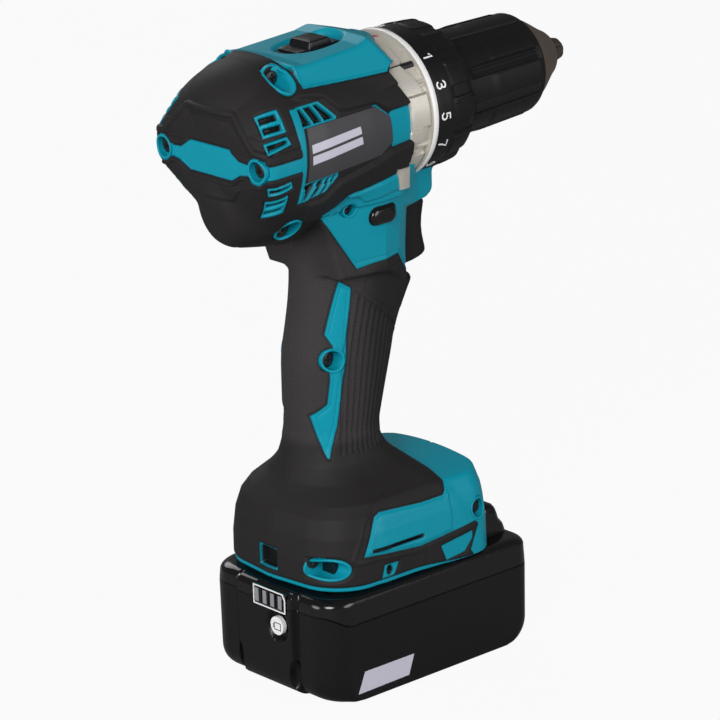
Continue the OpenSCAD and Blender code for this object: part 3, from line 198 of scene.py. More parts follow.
def round_outline(points, per_side):
    """Points along the sides of a closed outline, per_side of them on each."""
    pts = np.array(points, float)
    t = np.linspace(0, 1, per_side, endpoint=False)[:, None]
    return np.concatenate([a + (b - a) * t for a, b in zip(pts, np.roll(pts, -1, 0))])


def make(name, parts, body, materials, sharp=38.0, replaces=()):
    """A mesh object from parts of (vertices in mm, list of face arrays, material index, {attribute: values})
    that rides on a body and stands in for the solids that it replaces."""
    verts, corners, sizes, indices, layers = [], [], [], [], {}
    base = 0
    total = sum(len(v) for v, _, _, _ in parts)
    for v, faces, index, attributes in parts:
        for key, values in attributes.items():
            layers.setdefault(key, np.zeros(total, np.float32))[base:base + len(v)] = values
        for f in faces:
            corners.append((f + base).reshape(-1))
            sizes.append(np.full(len(f), f.shape[1]))
            indices.append(np.full(len(f), index))
        verts.append(v)
        base += len(v)
    verts = np.concatenate(verts) * MM
    corners, sizes, indices = (np.concatenate(rows) for rows in (corners, sizes, indices))
    mesh = bpy.data.meshes.new(name)
    mesh.vertices.add(len(verts))
    mesh.vertices.foreach_set("co", verts.astype(np.float32).ravel())
    mesh.loops.add(len(corners))
    mesh.loops.foreach_set("vertex_index", corners.astype(np.int32))
    mesh.polygons.add(len(sizes))
    mesh.polygons.foreach_set("loop_start", (np.cumsum(sizes) - sizes).astype(np.int32))
    mesh.polygons.foreach_set("loop_total", sizes.astype(np.int32))
    mesh.polygons.foreach_set("material_index", indices.astype(np.int32))
    for key, values in layers.items():
        mesh.attributes.new(key, "FLOAT", "POINT").data.foreach_set("value", values)
    for m in materials:
        mesh.materials.append(m)
    mesh.update(calc_edges=True)
    mesh.validate()
    mesh.polygons.foreach_set("use_smooth", np.ones(len(mesh.polygons), bool))
    mesh.set_sharp_from_angle(angle=math.radians(sharp))
    obj = bpy.data.objects.new(name, mesh)
    bpy.context.scene.collection.objects.link(obj)
    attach(obj, body)
    if replaces:
        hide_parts(*replaces)
    return obj


def lathe(stations, turns, radius=None):
    """Rows of (distance along, radius) turned about the spindle; radius(x, angle, r) may reshape them.
    The first and last rows close to a point when their radius is 0."""
    s = np.asarray(stations, float)
    a = np.arange(turns) * TAU / turns
    x = np.broadcast_to(s[:, :1], (len(s), turns))
    r = np.broadcast_to(s[:, 1:2], (len(s), turns))
    ang = np.broadcast_to(a[None, :], x.shape)
    if radius is not None:
        r = radius(x, np.degrees(ang), r)
    return from_barrel(np.stack([x, -r * np.sin(ang), r * np.cos(ang)], -1))


def capped(grid, flip=False):
    """Vertices and faces of a wrapped grid with a pole at each end."""
    rows, cols, _ = grid.shape
    v = np.concatenate([grid.reshape(-1, 3), [grid[0].mean(0)], [grid[-1].mean(0)]])
    j = np.arange(cols)
    k = (j + 1) % cols
    first, last = rows * cols, rows * cols + 1
    a = np.stack([np.full(cols, first), k, j], -1)
    b = np.stack([np.full(cols, last), (rows - 1) * cols + j, (rows - 1) * cols + k], -1)
    if flip:
        a, b = a[:, ::-1], b[:, ::-1]
    return v, [sweep_faces(rows, cols, flip=flip), a, b]


def ring(grid, flip=False):
    """Vertices and faces of a grid closed both ways, like a tube bent into a loop."""
    rows, cols, _ = grid.shape
    return grid.reshape(-1, 3), [sweep_faces(rows + 1, cols, flip=flip) % (rows * cols)]


# ---- Form of the housing, as distances from its skin (negative inside) ----

COVER_BACK = -75.5  # rear of the cover along the barrel
NOSE_FRONT = 31.0  # front of the nose under the collar
FOOT_TOP = 90.0  # where the foot's skin hands over to the grip's


def columns(table, at):
    """Each column of a table of stations, read off between its rows."""
    return [np.interp(at, table[:, 0], table[:, i]) for i in range(1, table.shape[1])]


def eased(table, reach=5.0):
    """The same table in steps of 1 mm with the corners between its rows rounded off."""
    at = np.arange(table[0, 0], table[-1, 0] + 0.5)
    shift = np.linspace(-1, 1, 9) * reach
    rows = np.mean([columns(table, at + s) for s in shift], 0)
    return np.stack([at, *rows], -1)


GRIP = eased(np.array([  # height, centre along X, half depth, half width
    [84, -20, 20.4, 19.6], [97, -19.0, 19.2, 16.7], [112.6, -17.2, 21.4, 17.3], [133, -14.3, 24.6, 17.5],
    [144, -12.1, 24.2, 17.5], [156, -9.4, 24.4, 17.9], [168, -8.2, 24.4, 18.6], [178, -8.4, 25.2, 20.1],
    [190, -9.2, 27.4, 22.8], [204, -12, 32, 24.9]]))
CHIN = np.array([  # place along the barrel, height of the centre, radius
    [-75, -25.5, 8.5], [-66, -24, 13.7], [-48, -22, 19.5], [-20, -12, 20]])
FOOT = np.array([  # height, rear end, front end, half width, plan corner radius at rear and front
    [42, -53, 30, 37.2, 18, 8], [57.4, -53, 28, 37, 18, 8], [67.4, -52, 24, 35.8, 17.5, 8.5],
    [74.4, -50, 20, 34, 17, 9], [78.9, -46.4, 15.5, 31.7, 16, 10], [84.9, -41, 9.5, 25, 14, 11],
    [91.4, -38, 3, 18, 14, 12], [98, -35.5, -3, 15, 14, 12]])
BROW = np.array([  # height, front end, half width of the block over the battery's latch
    [42, 39.5, 37.2], [57.4, 39.1, 37], [67.4, 38.6, 35.8], [72, 38.1, 34.9], [79, 36.9, 31.6],
    [83, 35.4, 29.5]])


def crown_field(b):
    """Top of the selector's block: slightly domed across, rising to a peak ahead of the selector."""
    top = np.interp(b[..., 0], [-64, -54, -49.5, -41.9, -13.6, -7.6, -1.8, 5, 12],
                    [41, 35.3, 33.9, 32.8, 33.8, 35.2, 33.6, 31.4, 29.6])
    return b[..., 2] - top + 0.7 * (b[..., 1] / 20) ** 2


def barrel_field(b):
    """A tapering tube about the spindle whose rear end is rounded more above and below than at the sides."""
    angle, r = around(b)
    size = np.interp(b[..., 0], [-76, -60, -44, -20, 4], [35.0, 35.2, 35.0, 33.0, 29.8])
    size = size - 0.9 * np.sin(np.radians(angle)) ** 2
    tube = smax(smax(r - size, b[..., 0] - 8.0, 1.0), crown_field(b), 1.2)
    soft = np.interp(angle, [0, 35, 62, 82, 98, 120, 150, 180], [25, 25, 17, 6, 6, 20, 30, 30])
    return smax(tube, COVER_BACK - b[..., 0], soft)


def block_field(b):
    """Block of the speed selector: sides lean in, the rear end is square, the front corners slope away."""
    u, y, z = b[..., 0], np.abs(b[..., 1]), b[..., 2]
    side = 0.911 * y + 0.412 * z - np.interp(u, [-47, -5], [31.9, 31.2])
    corner = 0.641 * u + 0.422 * y + 0.641 * z - 25.0
    ends = np.maximum(-47.8 - u, u - 6.0)
    return smax(smax(crown_field(b), side, 1.4), smax(corner, smax(ends, 16 - z, 1.0), 1.0), 1.2)


def chin_field(b):
    """A round chin below the motor whose radius and height vary along the barrel. It is narrower under the
    collar, and a plane that leans back from below cuts its rear end."""
    u, y, z = b[..., 0], b[..., 1], b[..., 2]
    centre, size = columns(CHIN, u)
    narrow = 1 + 0.14 * step(u, -14.0, -3.0)
    chin = smax(np.hypot(y * narrow, z - centre) - size, -73.5 - u, 5.0)
    return smax(chin, -0.74 * (u + 74.2) - 0.672 * (z + 31.1) - 2.4, 3.0)


def oval_field(p, centre, deep, wide, power=2.1):
    """A slightly squared ellipse in plan, about a centre that moves with height."""
    q = (np.abs((p[..., 0] - centre) / deep) ** power + np.abs(p[..., 1] / wide) ** power) ** (1 / power)
    return (q - 1) * np.minimum(deep, wide)


def grip_field(p):
    """A stack of ovals, wider at the switch and waisted above the foot."""
    centre, deep, wide = columns(GRIP, p[..., 2])
    return smax(oval_field(p, centre, deep, wide), p[..., 2] - 206, 4.0)


SWITCH_SIDE = [[-30, 168], [-4, 166], [9, 159], [15.5, 157.6], [15, 176], [15.5, 193], [15.5, 206], [0, 212],
               [-34, 208], [-40, 197]]


def switch_field(p):
    """The block round the switch: its side outline, cut to a width that narrows toward the trigger, and the
    nose that runs on over the trigger."""
    x, y, z = p[..., 0], np.abs(p[..., 1]), p[..., 2]
    wide = np.interp(x, [-6, 4, 15.5], [22.0, 18.5, 11.5])
    block = smax(polygon(x, z, SWITCH_SIDE), y - wide, 2.5)
    wide = np.interp(x, [0, 10, 18, 28], [22.3, 18.5, 14.8, 12.4])
    low = np.interp(x, [-30, -2, 8, 16, 22, 29], [196.5, 196.0, 190.0, 187.2, 187.4, 190.5])
    high = np.interp(x, [-30, 2, 7, 28], [210, 209.0, 204.2, 201.0])
    nose = smax(smax(y - wide, smax(low - z, z - high, 2.0), 2.2), smax(x - 29.0, -30 - x, 2.0), 2.5)
    return np.minimum(block, nose)


def ledge_field(p):
    """The swelling under the trigger."""
    z = p[..., 2]
    centre = np.interp(z, [146, 156, 163], [0, 5, 4])
    deep = np.interp(z, [140, 147, 156, 163], [11, 14.5, 16.5, 14])
    wide = np.interp(z, [140, 147, 156, 163], [10, 13, 13.5, 14])
    return smax(oval_field(p, centre, deep, wide), np.abs(z - 152) - 12, 3.0)


def foot_field(p):
    """Rounded rectangles in plan that draw in toward the grip, and a flat-roofed block in front."""
    x, y, z = p[..., 0], np.abs(p[..., 1]), p[..., 2]
    back, front, wide, r_back, r_front = columns(FOOT, z)
    back = back + 0.11 * y
    rear = plan_distance(x, y, back, front, wide, np.where(x < (back + front) / 2, r_back, r_front))
    under = 45.4 - z - 1.5 * step(x, -10, 24)
    rear = smax(rear * 0.8, z - 99, 4.0)
    front, wide = columns(BROW, z)
    brow = plan_distance(x, y, -34.0, front - 0.002 * y ** 2, wide, 11.0)
    brow = smax(brow, z - 81.4 + 2.6 * (y / 30) ** 2, 1.6)
    return smax(smin(rear, brow, 1.5), under, 1.6)


def plan_distance(x, y, back, front, wide, r):
    """Signed distance in plan to a rectangle with rounded corners."""
    middle = (back + front) / 2
    qx, qy = np.abs(x - middle) - (front - back) / 2 + r, y - wide + r
    return np.hypot(np.maximum(qx, 0), np.maximum(qy, 0)) + np.minimum(np.maximum(qx, qy), 0) - r


# Bores for screws: centre of the floor, way out, the two radii and whether the barrel's frame is meant
SIDEWAYS, BACKWARD = (0, 1, 0), (-1, 0, 0)
STRAP_SLOT = (-46.3, 21.0, 55.3)  # the bore in the foot, on the right side only
WELLS = (
    ("top", (-53.9, 13.4, 28.9), SIDEWAYS, 4.0, 4.0, True),
    ("low", (-54.5, 13.6, -30.3), SIDEWAYS, 3.9, 3.9, True),
    ("rear", (-72.6, 27.3, -0.3), BACKWARD, 3.9, 3.9, True),
    ("switch", (-24.8, 19.4, 195.7), SIDEWAYS, 2.7, 2.3, False),
    ("grip", (-28.6, 9.8, 133.8), SIDEWAYS, 3.5, 3.9, False),
    ("foot", STRAP_SLOT, SIDEWAYS, 5.4, 3.6, False),
    ("side", (27.2, 32.6, 63.4), SIDEWAYS, 3.4, 3.7, False),
)


def bore_distance(p, b, centre, way, r1, r2, barrel):
    """Signed distance to one bore on both sides of the tool, and the height above its floor."""
    q = b if barrel else p
    side = -q[..., 1] if centre == STRAP_SLOT else np.abs(q[..., 1])
    q = np.stack([q[..., 0], side, q[..., 2]], -1) - np.array(centre)
    across = q[..., 1] if way == BACKWARD else q[..., 0]
    return (np.hypot(across / r1, q[..., 2] / r2) - 1) * min(r1, r2), q @ np.array(way, float)


def bored(f, p, names, grow=0.25):
    """Takes the named bores out of a distance."""
    b = to_barrel(p)
    for name, centre, way, r1, r2, barrel in WELLS:
        if name in names:
            d, out = bore_distance(p, b, centre, way, r1 + grow, r2 + grow, barrel)
            f = smax(f, -np.maximum(d, -out), 0.3)
    return f


def whole_field(p):
    """All the forms joined, with hollows between them filled to a moulded radius."""
    b = to_barrel(p)
    f = smin(barrel_field(b), chin_field(b), 7.0)
    f = smin(f, grip_field(p), 4.5)
    f = smin(f, ledge_field(p), 5.0)
    f = smin(f, switch_field(p), 2.2)
    f = smin(f, block_field(b), 0.8)
    return smin(f, foot_field(p), 6.0)


def housing_field(p):
    """The form less the bores that open on the housing."""
    return bored(whole_field(p), p, ("top", "low", "switch", "grip"))


def cast(field, origin, direction, reach, pace=1.5):
    """First distance along each ray at which the field turns positive: steps out, then halves the step."""
    low = np.zeros(origin.shape[:-1])
    found = np.zeros(low.shape, bool)
    t = np.zeros(low.shape)
    for _ in range(int(math.ceil(reach / pace))):
        t = np.where(found, t, t + pace)
        out = field(origin + direction * t[..., None]) > 0
        low = np.where(found | out, low, t)
        found |= out
    high = np.minimum(low + pace, reach)
    for _ in range(9):
        mid = (low + high) / 2
        out = field(origin + direction * mid[..., None]) > 0
        high = np.where(out, mid, high)
        low = np.where(out, low, mid)
    return (low + high) / 2


def normals(field, p, reach=0.3):
    """Unit gradient of the field by differences over a short reach each way."""
    n = np.stack([field(p + axis) - field(p - axis) for axis in np.eye(3) * reach], -1)
    return n / np.maximum(np.linalg.norm(n, axis=-1, keepdims=True), 1e-9)


# ---- Zones and relief of the housing ----

# Along the barrel and degrees from its top
LABEL = [[-54.2, 68.6], [-18.0, 68.4], [-16.0, 68.6], [-9.0, 79.5], [-8.6, 98.5], [-15.0, 106.0],
         [-39.5, 105.2], [-56.6, 105.8]]
FIELDS = ([[-52.6, 80.6], [-26.6, 79.0], [-26.4, 84.2], [-52.8, 86.2]],
          [[-52.8, 88.0], [-26.4, 86.2], [-26.2, 91.4], [-53.0, 93.6]])
VENT_UP = [[-54.9, 54.4], [-43.2, 54.4], [-36.9, 67.4], [-37.4, 69.6], [-55.4, 69.6]]
BARS_UP = (([-52.6, 52.0], [-48.6, 70.0]), ([-47.7, 52.0], [-43.3, 70.0]))
VENT_DOWN = [[-57.6, 105.0], [-39.0, 104.6], [-39.0, 108.6], [-45.0, 117.4], [-57.0, 120.4]]
BARS_DOWN = (([-55.0, 119.6], [-48.9, 104.0]), ([-50.6, 119.6], [-44.4, 104.0]),
             ([-46.9, 118.6], [-41.6, 105.0]))
PATCH = [[-9.4, 76.5], [-8.0, 75.4], [3.5, 75.5], [3.5, 103.6], [-9.0, 103.2]]
LEFT_BAR = [[-58.2, 55.0], [-54.2, 55.0], [-54.0, 66.0], [-56.6, 105.8], [-57.0, 120.4], [-59.0, 120.0]]
TOP = [[-49.8, -20], [-49.7, 14], [-48.0, 30], [-47.6, 45.2], [-5.0, 49.2], [-2.6, 45], [8, 40], [8, -20]]
SHOULDER = [[-60, 47.5], [-46.5, 51.5], [-41.0, 53.6], [-35.6, 64.4], [-31.0, 65.8], [-17.0, 66.6],
            [-9.3, 74.6], [4, 75.0]]
SHOULDER_LOW = [[-60, 122.5], [-45.6, 121.8], [-38.0, 112.2], [-15.0, 107.6], [-9.0, 104.8], [4, 104.4]]
TURN = 0.6  # millimetres for a degree round the barrel
# From a point inside the cover: where the way out crosses a tube of the barrel's size, and its degrees
# from the top
COVER_FRAMES = (
    [[-74.0, 50.4], [-63.6, 52.4], [-63.7, 67.2], [-74.4, 66.8]],
    [[-75.2, 71.6], [-64.0, 71.0], [-62.9, 75.6], [-74.4, 78.4]],
    [[-75.6, 102.6], [-64.6, 100.2], [-63.8, 103.8], [-74.6, 109.2]],
    [[-74.8, 117.4], [-65.6, 109.6], [-64.6, 125.2], [-71.6, 138.0]])
COVER_SLOTS = (
    [[-73.2, 51.9], [-64.5, 53.9], [-64.6, 58.8], [-73.5, 57.6]],
    [[-73.4, 60.2], [-64.5, 61.5], [-64.6, 65.8], [-73.5, 65.5]],
    [[-74.4, 72.6], [-64.6, 72.2], [-63.7, 74.8], [-73.9, 77.2]],
    [[-74.8, 103.7], [-65.0, 101.5], [-64.6, 103.4], [-74.2, 107.9]],
    [[-73.9, 119.2], [-66.2, 111.6], [-66.1, 115.6], [-73.3, 124.6]],
    [[-73.0, 128.4], [-66.0, 119.2], [-65.9, 124.4], [-72.0, 134.8]])
# From the side, in millimetres
SWITCH_PANEL = [[-40.5, 197.0], [-35.1, 199.3], [-29.4, 203.7], [-5.8, 206.2], [4, 207.5], [30, 210],
                [30, 158], [14.6, 158.4], [12.6, 160.2], [2.6, 171.8], [-12.6, 171.6], [-21.7, 171.0]]
GRIP_PANEL = [[-24.8, 165.3], [-20.1, 162.0], [-20.5, 157.2], [-22.6, 141.3], [-23.4, 133.4], [-26.8, 115.5],
              [-28.1, 106.4], [-32.3, 94.0], [-33.2, 94.6], [-36.6, 111.4], [-31.6, 116.2], [-30.3, 126.2],
              [-30.4, 130.4], [-28.3, 137.0], [-28.6, 139.6], [-30.8, 144.2]]
PENTAGON = [[-14.4, 167.0], [4.5, 168.2], [13, 158], [10, 150.5], [1.4, 147.6], [-13.4, 158.2]]
FOOT_PANEL = [[-34.8, 59.3], [-27.2, 73.8], [-24.2, 75.2], [-2, 73.5], [9.4, 73.6], [10.8, 75], [12.4, 79],
              [13.4, 82], [13.4, 99], [70, 99], [70, 40], [27, 40], [21.4, 47.6], [26.4, 57.4], [24.8, 58.9],
              [-5.1, 56.4], [-32, 59.0]]
FOOT_PATCHES = ([[-24.8, 53.9], [-17.2, 53.6], [-19.7, 48.6], [-26.4, 48.4]],
                [[5.2, 53.6], [22.8, 55.6], [22.9, 52.6], [18.2, 47.7], [8.1, 46.6]])
# From behind, across and up
HEX = [[-22.9, 1.4], [-16.9, 1.8], [-11.4, 5.3], [11.4, 5.3], [16.9, 1.8], [22.9, 1.4], [22.9, -2.8],
       [17.7, -3.6], [12.0, -6.7], [-12.0, -6.7], [-17.7, -3.6], [-22.9, -2.8]]
FRAME = [[31.5, 6.0], [25.9, 7.1], [14.3, 18.2], [12.4, 18.9], [-12.4, 18.9], [-14.3, 18.2], [-25.9, 7.1],
         [-31.5, 6.0]]
FRAME_IN = [[28.0, 4.8], [23.0, 6.4], [12.6, 16.6], [-12.6, 16.6], [-23.0, 6.4], [-28.0, 4.8]]
SKIRT = [[28, -6.4], [26.0, -6.4], [21.3, -3.8], [17.7, -4.4], [12.0, -8.0], [-12.0, -8.0], [-17.7, -4.4],
         [-21.3, -3.8], [-26, -6.4], [-28, -6.4]]
SKIRT_LOW = [[18.4, -8.6], [11.5, -15.4], [-11.5, -15.4], [-18.4, -8.6]]


def cut_height(x):
    """Height at which the barrel's grid hands over to the grip's."""
    return np.interp(x, [-60, -44, -40, -34, -24, 0], [150, 172, 184, 196, 205, 208])


def turned(points):
    """Points along and round the barrel, with their degrees as millimetres."""
    return [[a, c * TURN] for a, c in points]


def openings(u, v):
    """Signed distance to the slots between the bars of the two vents beside the label."""
    rim, half_bar = 1.0, 0.5
    slots = []
    for vent, bars in ((VENT_UP, BARS_UP), (VENT_DOWN, BARS_DOWN)):
        d = polygon(u, v, turned(vent)) + rim
        for ends in bars:
            d = np.maximum(d, half_bar - polyline(u, v, turned(ends)))
        slots.append(d)
    return np.minimum(*slots)


def recess(b):
    """Signed distance to the long oval hollow that the speed selector slides in."""
    q = (np.abs((b[..., 0] + 22.8) / 16.2) ** 2.3 + np.abs(b[..., 1] / 10.8) ** 2.3) ** (1 / 2.3)
    return (q - 1) * 10.8


def strip_distance(b):
    """The level strip of shell that runs round the rear cover: height above or below its edges."""
    return np.abs(b[..., 2] + 0.6) - 2.7


def window_distance(p):
    """The opening behind the foot where the battery's contacts are seen."""
    return slot_distance(p[..., 1], p[..., 2], -4.3, 7.4, 49.9, 59.4, 0.5)


def window_floor(p):
    """The deeper middle of that opening."""
    return slot_distance(p[..., 1], p[..., 2], -2.6, 6.8, 50.6, 58.2, 0.3)


def hook_slot(x, z):
    """The long slot for the belt hook in the side of the foot."""
    return slot_distance(x, z, -30.2, -3.6, 59.9, 61.2, 0.2)


def hook_hole(x, z):
    """The small hole below that slot, as a share of its radius."""
    return np.hypot((x + 22.2) / 1.5, (z - 51.1) / 1.9) - 1


def teal_distance(p, b):
    """Signed distance in mm to where the hard shell shows between the rubber (negative on the shell)."""
    far, rim = 50.0, 1.1
    x, y, z = p[..., 0], np.abs(p[..., 1]), p[..., 2]
    angle, _ = around(b)
    u, v = b[..., 0], angle * TURN
    d = np.min([polygon(u, v, turned(shape)) for shape in (VENT_UP, VENT_DOWN, PATCH, LEFT_BAR, TOP)], 0)
    border = np.abs(polygon(u, v, turned(LABEL))) - 0.45
    d = np.minimum(d, np.where((u > -18) & (angle < 101), border, far))
    d = np.minimum(d, smax(strip_distance(b), u + 56.0, 0.3))
    barrel = np.where((z > 190) & (u < 8), d, far)
    low = np.where(y > 3, polygon(x, z, SWITCH_PANEL), far)
    low = np.minimum(low, np.where((y > 4) & (z > 92) & (x < -10), polygon(x, z, GRIP_PANEL), far))
    foot = np.where(z < 92, polygon(x, z, FOOT_PANEL), far)
    for patch in FOOT_PATCHES:
        foot = np.minimum(foot, np.where((y > 30) & (z < 60), polygon(x, z, patch), far))
    foot = np.minimum(foot, np.where((z < 70) & (x < -45), window_distance(p), far))
    lower_lip = z - 48.0 + 3.0 * step(x, -10, 24)
    d = np.min([barrel, low, foot, lower_lip], 0)
    for name, centre, way, r1, r2, in_barrel in WELLS:
        if name not in ("switch", "side"):
            well, out = bore_distance(p, b, centre, way, r1 + rim, r2 + rim, in_barrel)
            d = np.minimum(d, np.where(out > -2, well, far))
    return d


def dark_distance(p, b):
    """Signed distance to the floors of slots and openings, which are painted near black as shadow."""
    far = 5.0
    x, y, z = p[..., 0], np.abs(p[..., 1]), p[..., 2]
    u, (angle, _) = b[..., 0], around(b)
    mouth = slot_distance(x, z, -15.4, -0.4, 186.6, 194.2, 3.7)
    return np.min([
        np.where((z > 200) & (u > -57.5) & (u < -36), openings(u, angle * TURN) + 0.25, far),
        np.where((b[..., 2] > 15) & (u < 0), recess(b) + 2.6, far),
        np.where((y > 30) & (z < 66), hook_slot(x, z), far),
        np.where((y > 14) & (z < 196), mouth, far),
        np.where((y > 30) & (z < 60), hook_hole(x, z) * 1.5, far),
        np.where((z < 70) & (x < -45), window_floor(p), far)], 0)


def shoulder_relief(u, angle, top):
    """Shoulders of rubber that stand proud of the band round the label, as a height in mm; top is the
    distance to the plate round the speed selector."""
    v = angle * TURN
    above = np.interp(u, *np.array(SHOULDER).T) * TURN - v
    below = np.where(angle > 90, v - np.interp(u, *np.array(SHOULDER_LOW).T) * TURN, -9)
    proud = 1.5 * step(np.maximum(above, below), -1.0, 1.0) * step(u, -56.5, -50)
    return proud * np.where(angle < 90, step(top, -0.2, 0.2), 1.0) - 0.3 * step(u, -57, -52)


def switch_relief(x, y, z, d):
    """The roll along the top of the switch panel, and the line inside its lower border; d is the distance
    to the hard shell."""
    roll = z - np.interp(x, [-32, -28.9, -22.8, -19.3, -14.2, -2.6, 30],
                         [206, 202.7, 201.4, 198.4, 198.4, 199.9, 203])
    h = np.where((y > 8) & (z < 212), 0.9 * step(roll, -0.6, 0.6) * step(-d, 0.2, 1.2), 0)
    edge = polyline(x, z, [[-38.6, 196.2], [-29.6, 183.6], [-21.3, 173.4], [3.3, 173.6], [14.0, 160.6]])
    return h - np.where((z < 200) & (y > 6), 0.35 * ridge(edge, 0.12, 0.3), 0)


def grip_relief(x, y, z):
    """Grooves down the front of the grip, the line that ends them above, and the plain field over it."""
    groove, groove_pitch, front = 0.8, 7.4, 118  # front: the grooves' edge, in degrees from straight ahead
    centre, deep, wide = columns(GRIP, z)
    theta = np.degrees(np.arctan2(y / wide, (x - centre) / deep))
    below = 160.0 - (x + 18.7) * 0.8 - z
    ahead = step(front - theta, 0, 1.5)
    slats = ahead * step(z, 94.5, 97.0) * step(below, 0.0, 1.6)
    h = -groove * slats * ridge(np.mod(front - theta, groove_pitch) - groove_pitch / 2, 0.9, 1.5)
    h = h - np.where((z > 130) & (z < 164), 0.4 * ridge(below, 0.2, 0.4) * ahead, 0)
    return h - np.where((y > 5) & (z < 170) & (z > 140), 0.3 * ridge(polygon(x, z, PENTAGON), 0.12, 0.4), 0)


def relief(p, b):
    """Height in mm that moulded detail stands off the form, over barrel, grip and foot."""
    shell, rim, bed, vents, hollow, line = 0.5, 0.45, 0.4, 2.6, 4.0, 0.3  # all depths but the rim's height
    x, y, z = p[..., 0], np.abs(p[..., 1]), p[..., 2]
    angle, _ = around(b)
    u, v = b[..., 0], angle * TURN
    d = teal_distance(p, b)
    top = np.where((z > 215) & (u > -50), polygon(u, v, turned(TOP)), 50.0)
    # the shell lies below the rubber, with a groove between them
    h = -shell * step(-d, -0.25, 0.25) * step(top, -0.3, 0.3) - shell * ridge(d - 0.25, 0.12, 0.3)
    on_barrel = (z > 196) & (u < 3)
    h = h + np.where(on_barrel, shoulder_relief(u, angle, top), 0)
    h = h + np.where(top < 3, rim * step(-top, 0, 0.3) * step(top, -1.3, -0.8), 0)
    # the bed of the label, the vents and the selector's hollow
    label = polygon(u, v, turned(LABEL))
    sunk = bed * step(-label, 0.2, 0.8) + vents * step(-openings(u, v), -0.2, 0.6)
    h = h - np.where(on_barrel & (y > 5), sunk, 0)
    h = h - np.where((b[..., 2] > 15) & (u < 0), hollow * step(-recess(b), 0.1, 3.2), 0)
    h = h + np.where(u < 30, switch_relief(x, y, z, d), 0)
    inner = np.where((y > 4) & (z > 92) & (x < -10) & (z < 168), polygon(x, z, GRIP_PANEL), 50.0)
    h = h - line * ridge(inner + 1.5, 0.1, 0.3) + grip_relief(x, y, z)
    # parting line of the two halves
    split = ridge(p[..., 1], 0.05, 0.25) * step(recess(b), 0.0, 0.5)
    shown = ((u > -57) | (z < 185)) & (x > -60) & ((b[..., 2] < 20) | (u > -48))
    return h - np.where(shown, line * split, 0)


def foot_relief(p, b):
    """Relief of the foot: the plate for a hook, the frame round it and the window behind."""
    raised, framed, ribbed = 0.55, 0.35, 0.22  # heights
    slot, hole, window, floor = 1.0, 1.2, 1.6, 0.8  # depths
    x, y, z = p[..., 0], np.abs(p[..., 1]), p[..., 2]
    plate = raised * step(-polygon(x, z, FOOT_PANEL), 0.7, 1.4) * (x < 12)
    edge = polyline(x, z, [[-20, 79.6], [-27.1, 77.2], [-32.4, 73.3], [-39.0, 59.0], [-37.4, 57.2],
                           [-30, 57.4], [-5.1, 54.6]])
    frame_line = framed * ridge(edge, 0.3, 0.7)
    patch = step(x, -12, -11) * step(-1 - x, 0, 1) * step(z, 48.6, 49.4) * step(56.2 - z, 0, 0.8)
    ribs = ribbed * patch * ridge(np.mod(x, 1.1) - 0.55, 0.15, 0.3)
    sunk = slot * step(-hook_slot(x, z), -0.2, 0.4) + hole * step(-hook_hole(x, z), -0.2, 0.2)
    h = relief(p, b) + np.where((y > 27) & (z < 82), plate + frame_line - ribs - sunk, 0)
    opening = np.where((z < 70) & (x < -45), window_distance(p), 5.0)
    return h - window * step(-opening, 0.1, 0.8) - floor * step(-window_floor(p), 0.0, 0.5) * (x < -45)


# ---- Materials ----

def add(tree, kind, links=(), **settings):
    """Adds a shader node, sets its properties or inputs by name, and links (from socket, to input)."""
    node = tree.nodes.new(kind)
    for key, value in settings.items():
        if hasattr(node, key):
            setattr(node, key, value)
        else:
            node.inputs[key.replace("_", " ")].default_value = value
    for source, target in links:
        tree.links.new(source, node.inputs[target])
    return node


def new_material(name, base, roughness, **sockets):
    """A material whose shader has the given uniform values; returns it with its tree and shader."""
    m = bpy.data.materials.new(name)
    m.use_nodes = True
    shader = m.node_tree.nodes["Principled BSDF"]
    shader.inputs["Base Color"].default_value = base
    shader.inputs["Roughness"].default_value = roughness
    for key, value in sockets.items():
        shader.inputs[key.replace("_", " ")].default_value = value
    return m, m.node_tree, shader


def shade(c, k):
    """A colour made k times as bright."""
    return tuple(min(1.0, v * k) for v in c[:3]) + (1.0,)


def blend(tree, factor, low, high):
    """Colour between low and high; each is a colour or another node's socket."""
    links = [(factor, 0)] + [(c, i) for i, c in ((6, low), (7, high)) if isinstance(c, bpy.types.NodeSocket)]
    node = add(tree, "ShaderNodeMix", links, data_type="RGBA")
    for i, c in ((6, low), (7, high)):
        if not isinstance(c, bpy.types.NodeSocket):
            node.inputs[i].default_value = c
    return node.outputs[2]


def ramp(tree, value, links=(), **limits):
    """A value mapped from one range to another."""
    return add(tree, "ShaderNodeMapRange", [(value, "Value"), *links], **limits).outputs["Result"]


def attribute(tree, name):
    """The value that a skin carries at each of its points."""
    return add(tree, "ShaderNodeAttribute", attribute_name=name).outputs["Fac"]


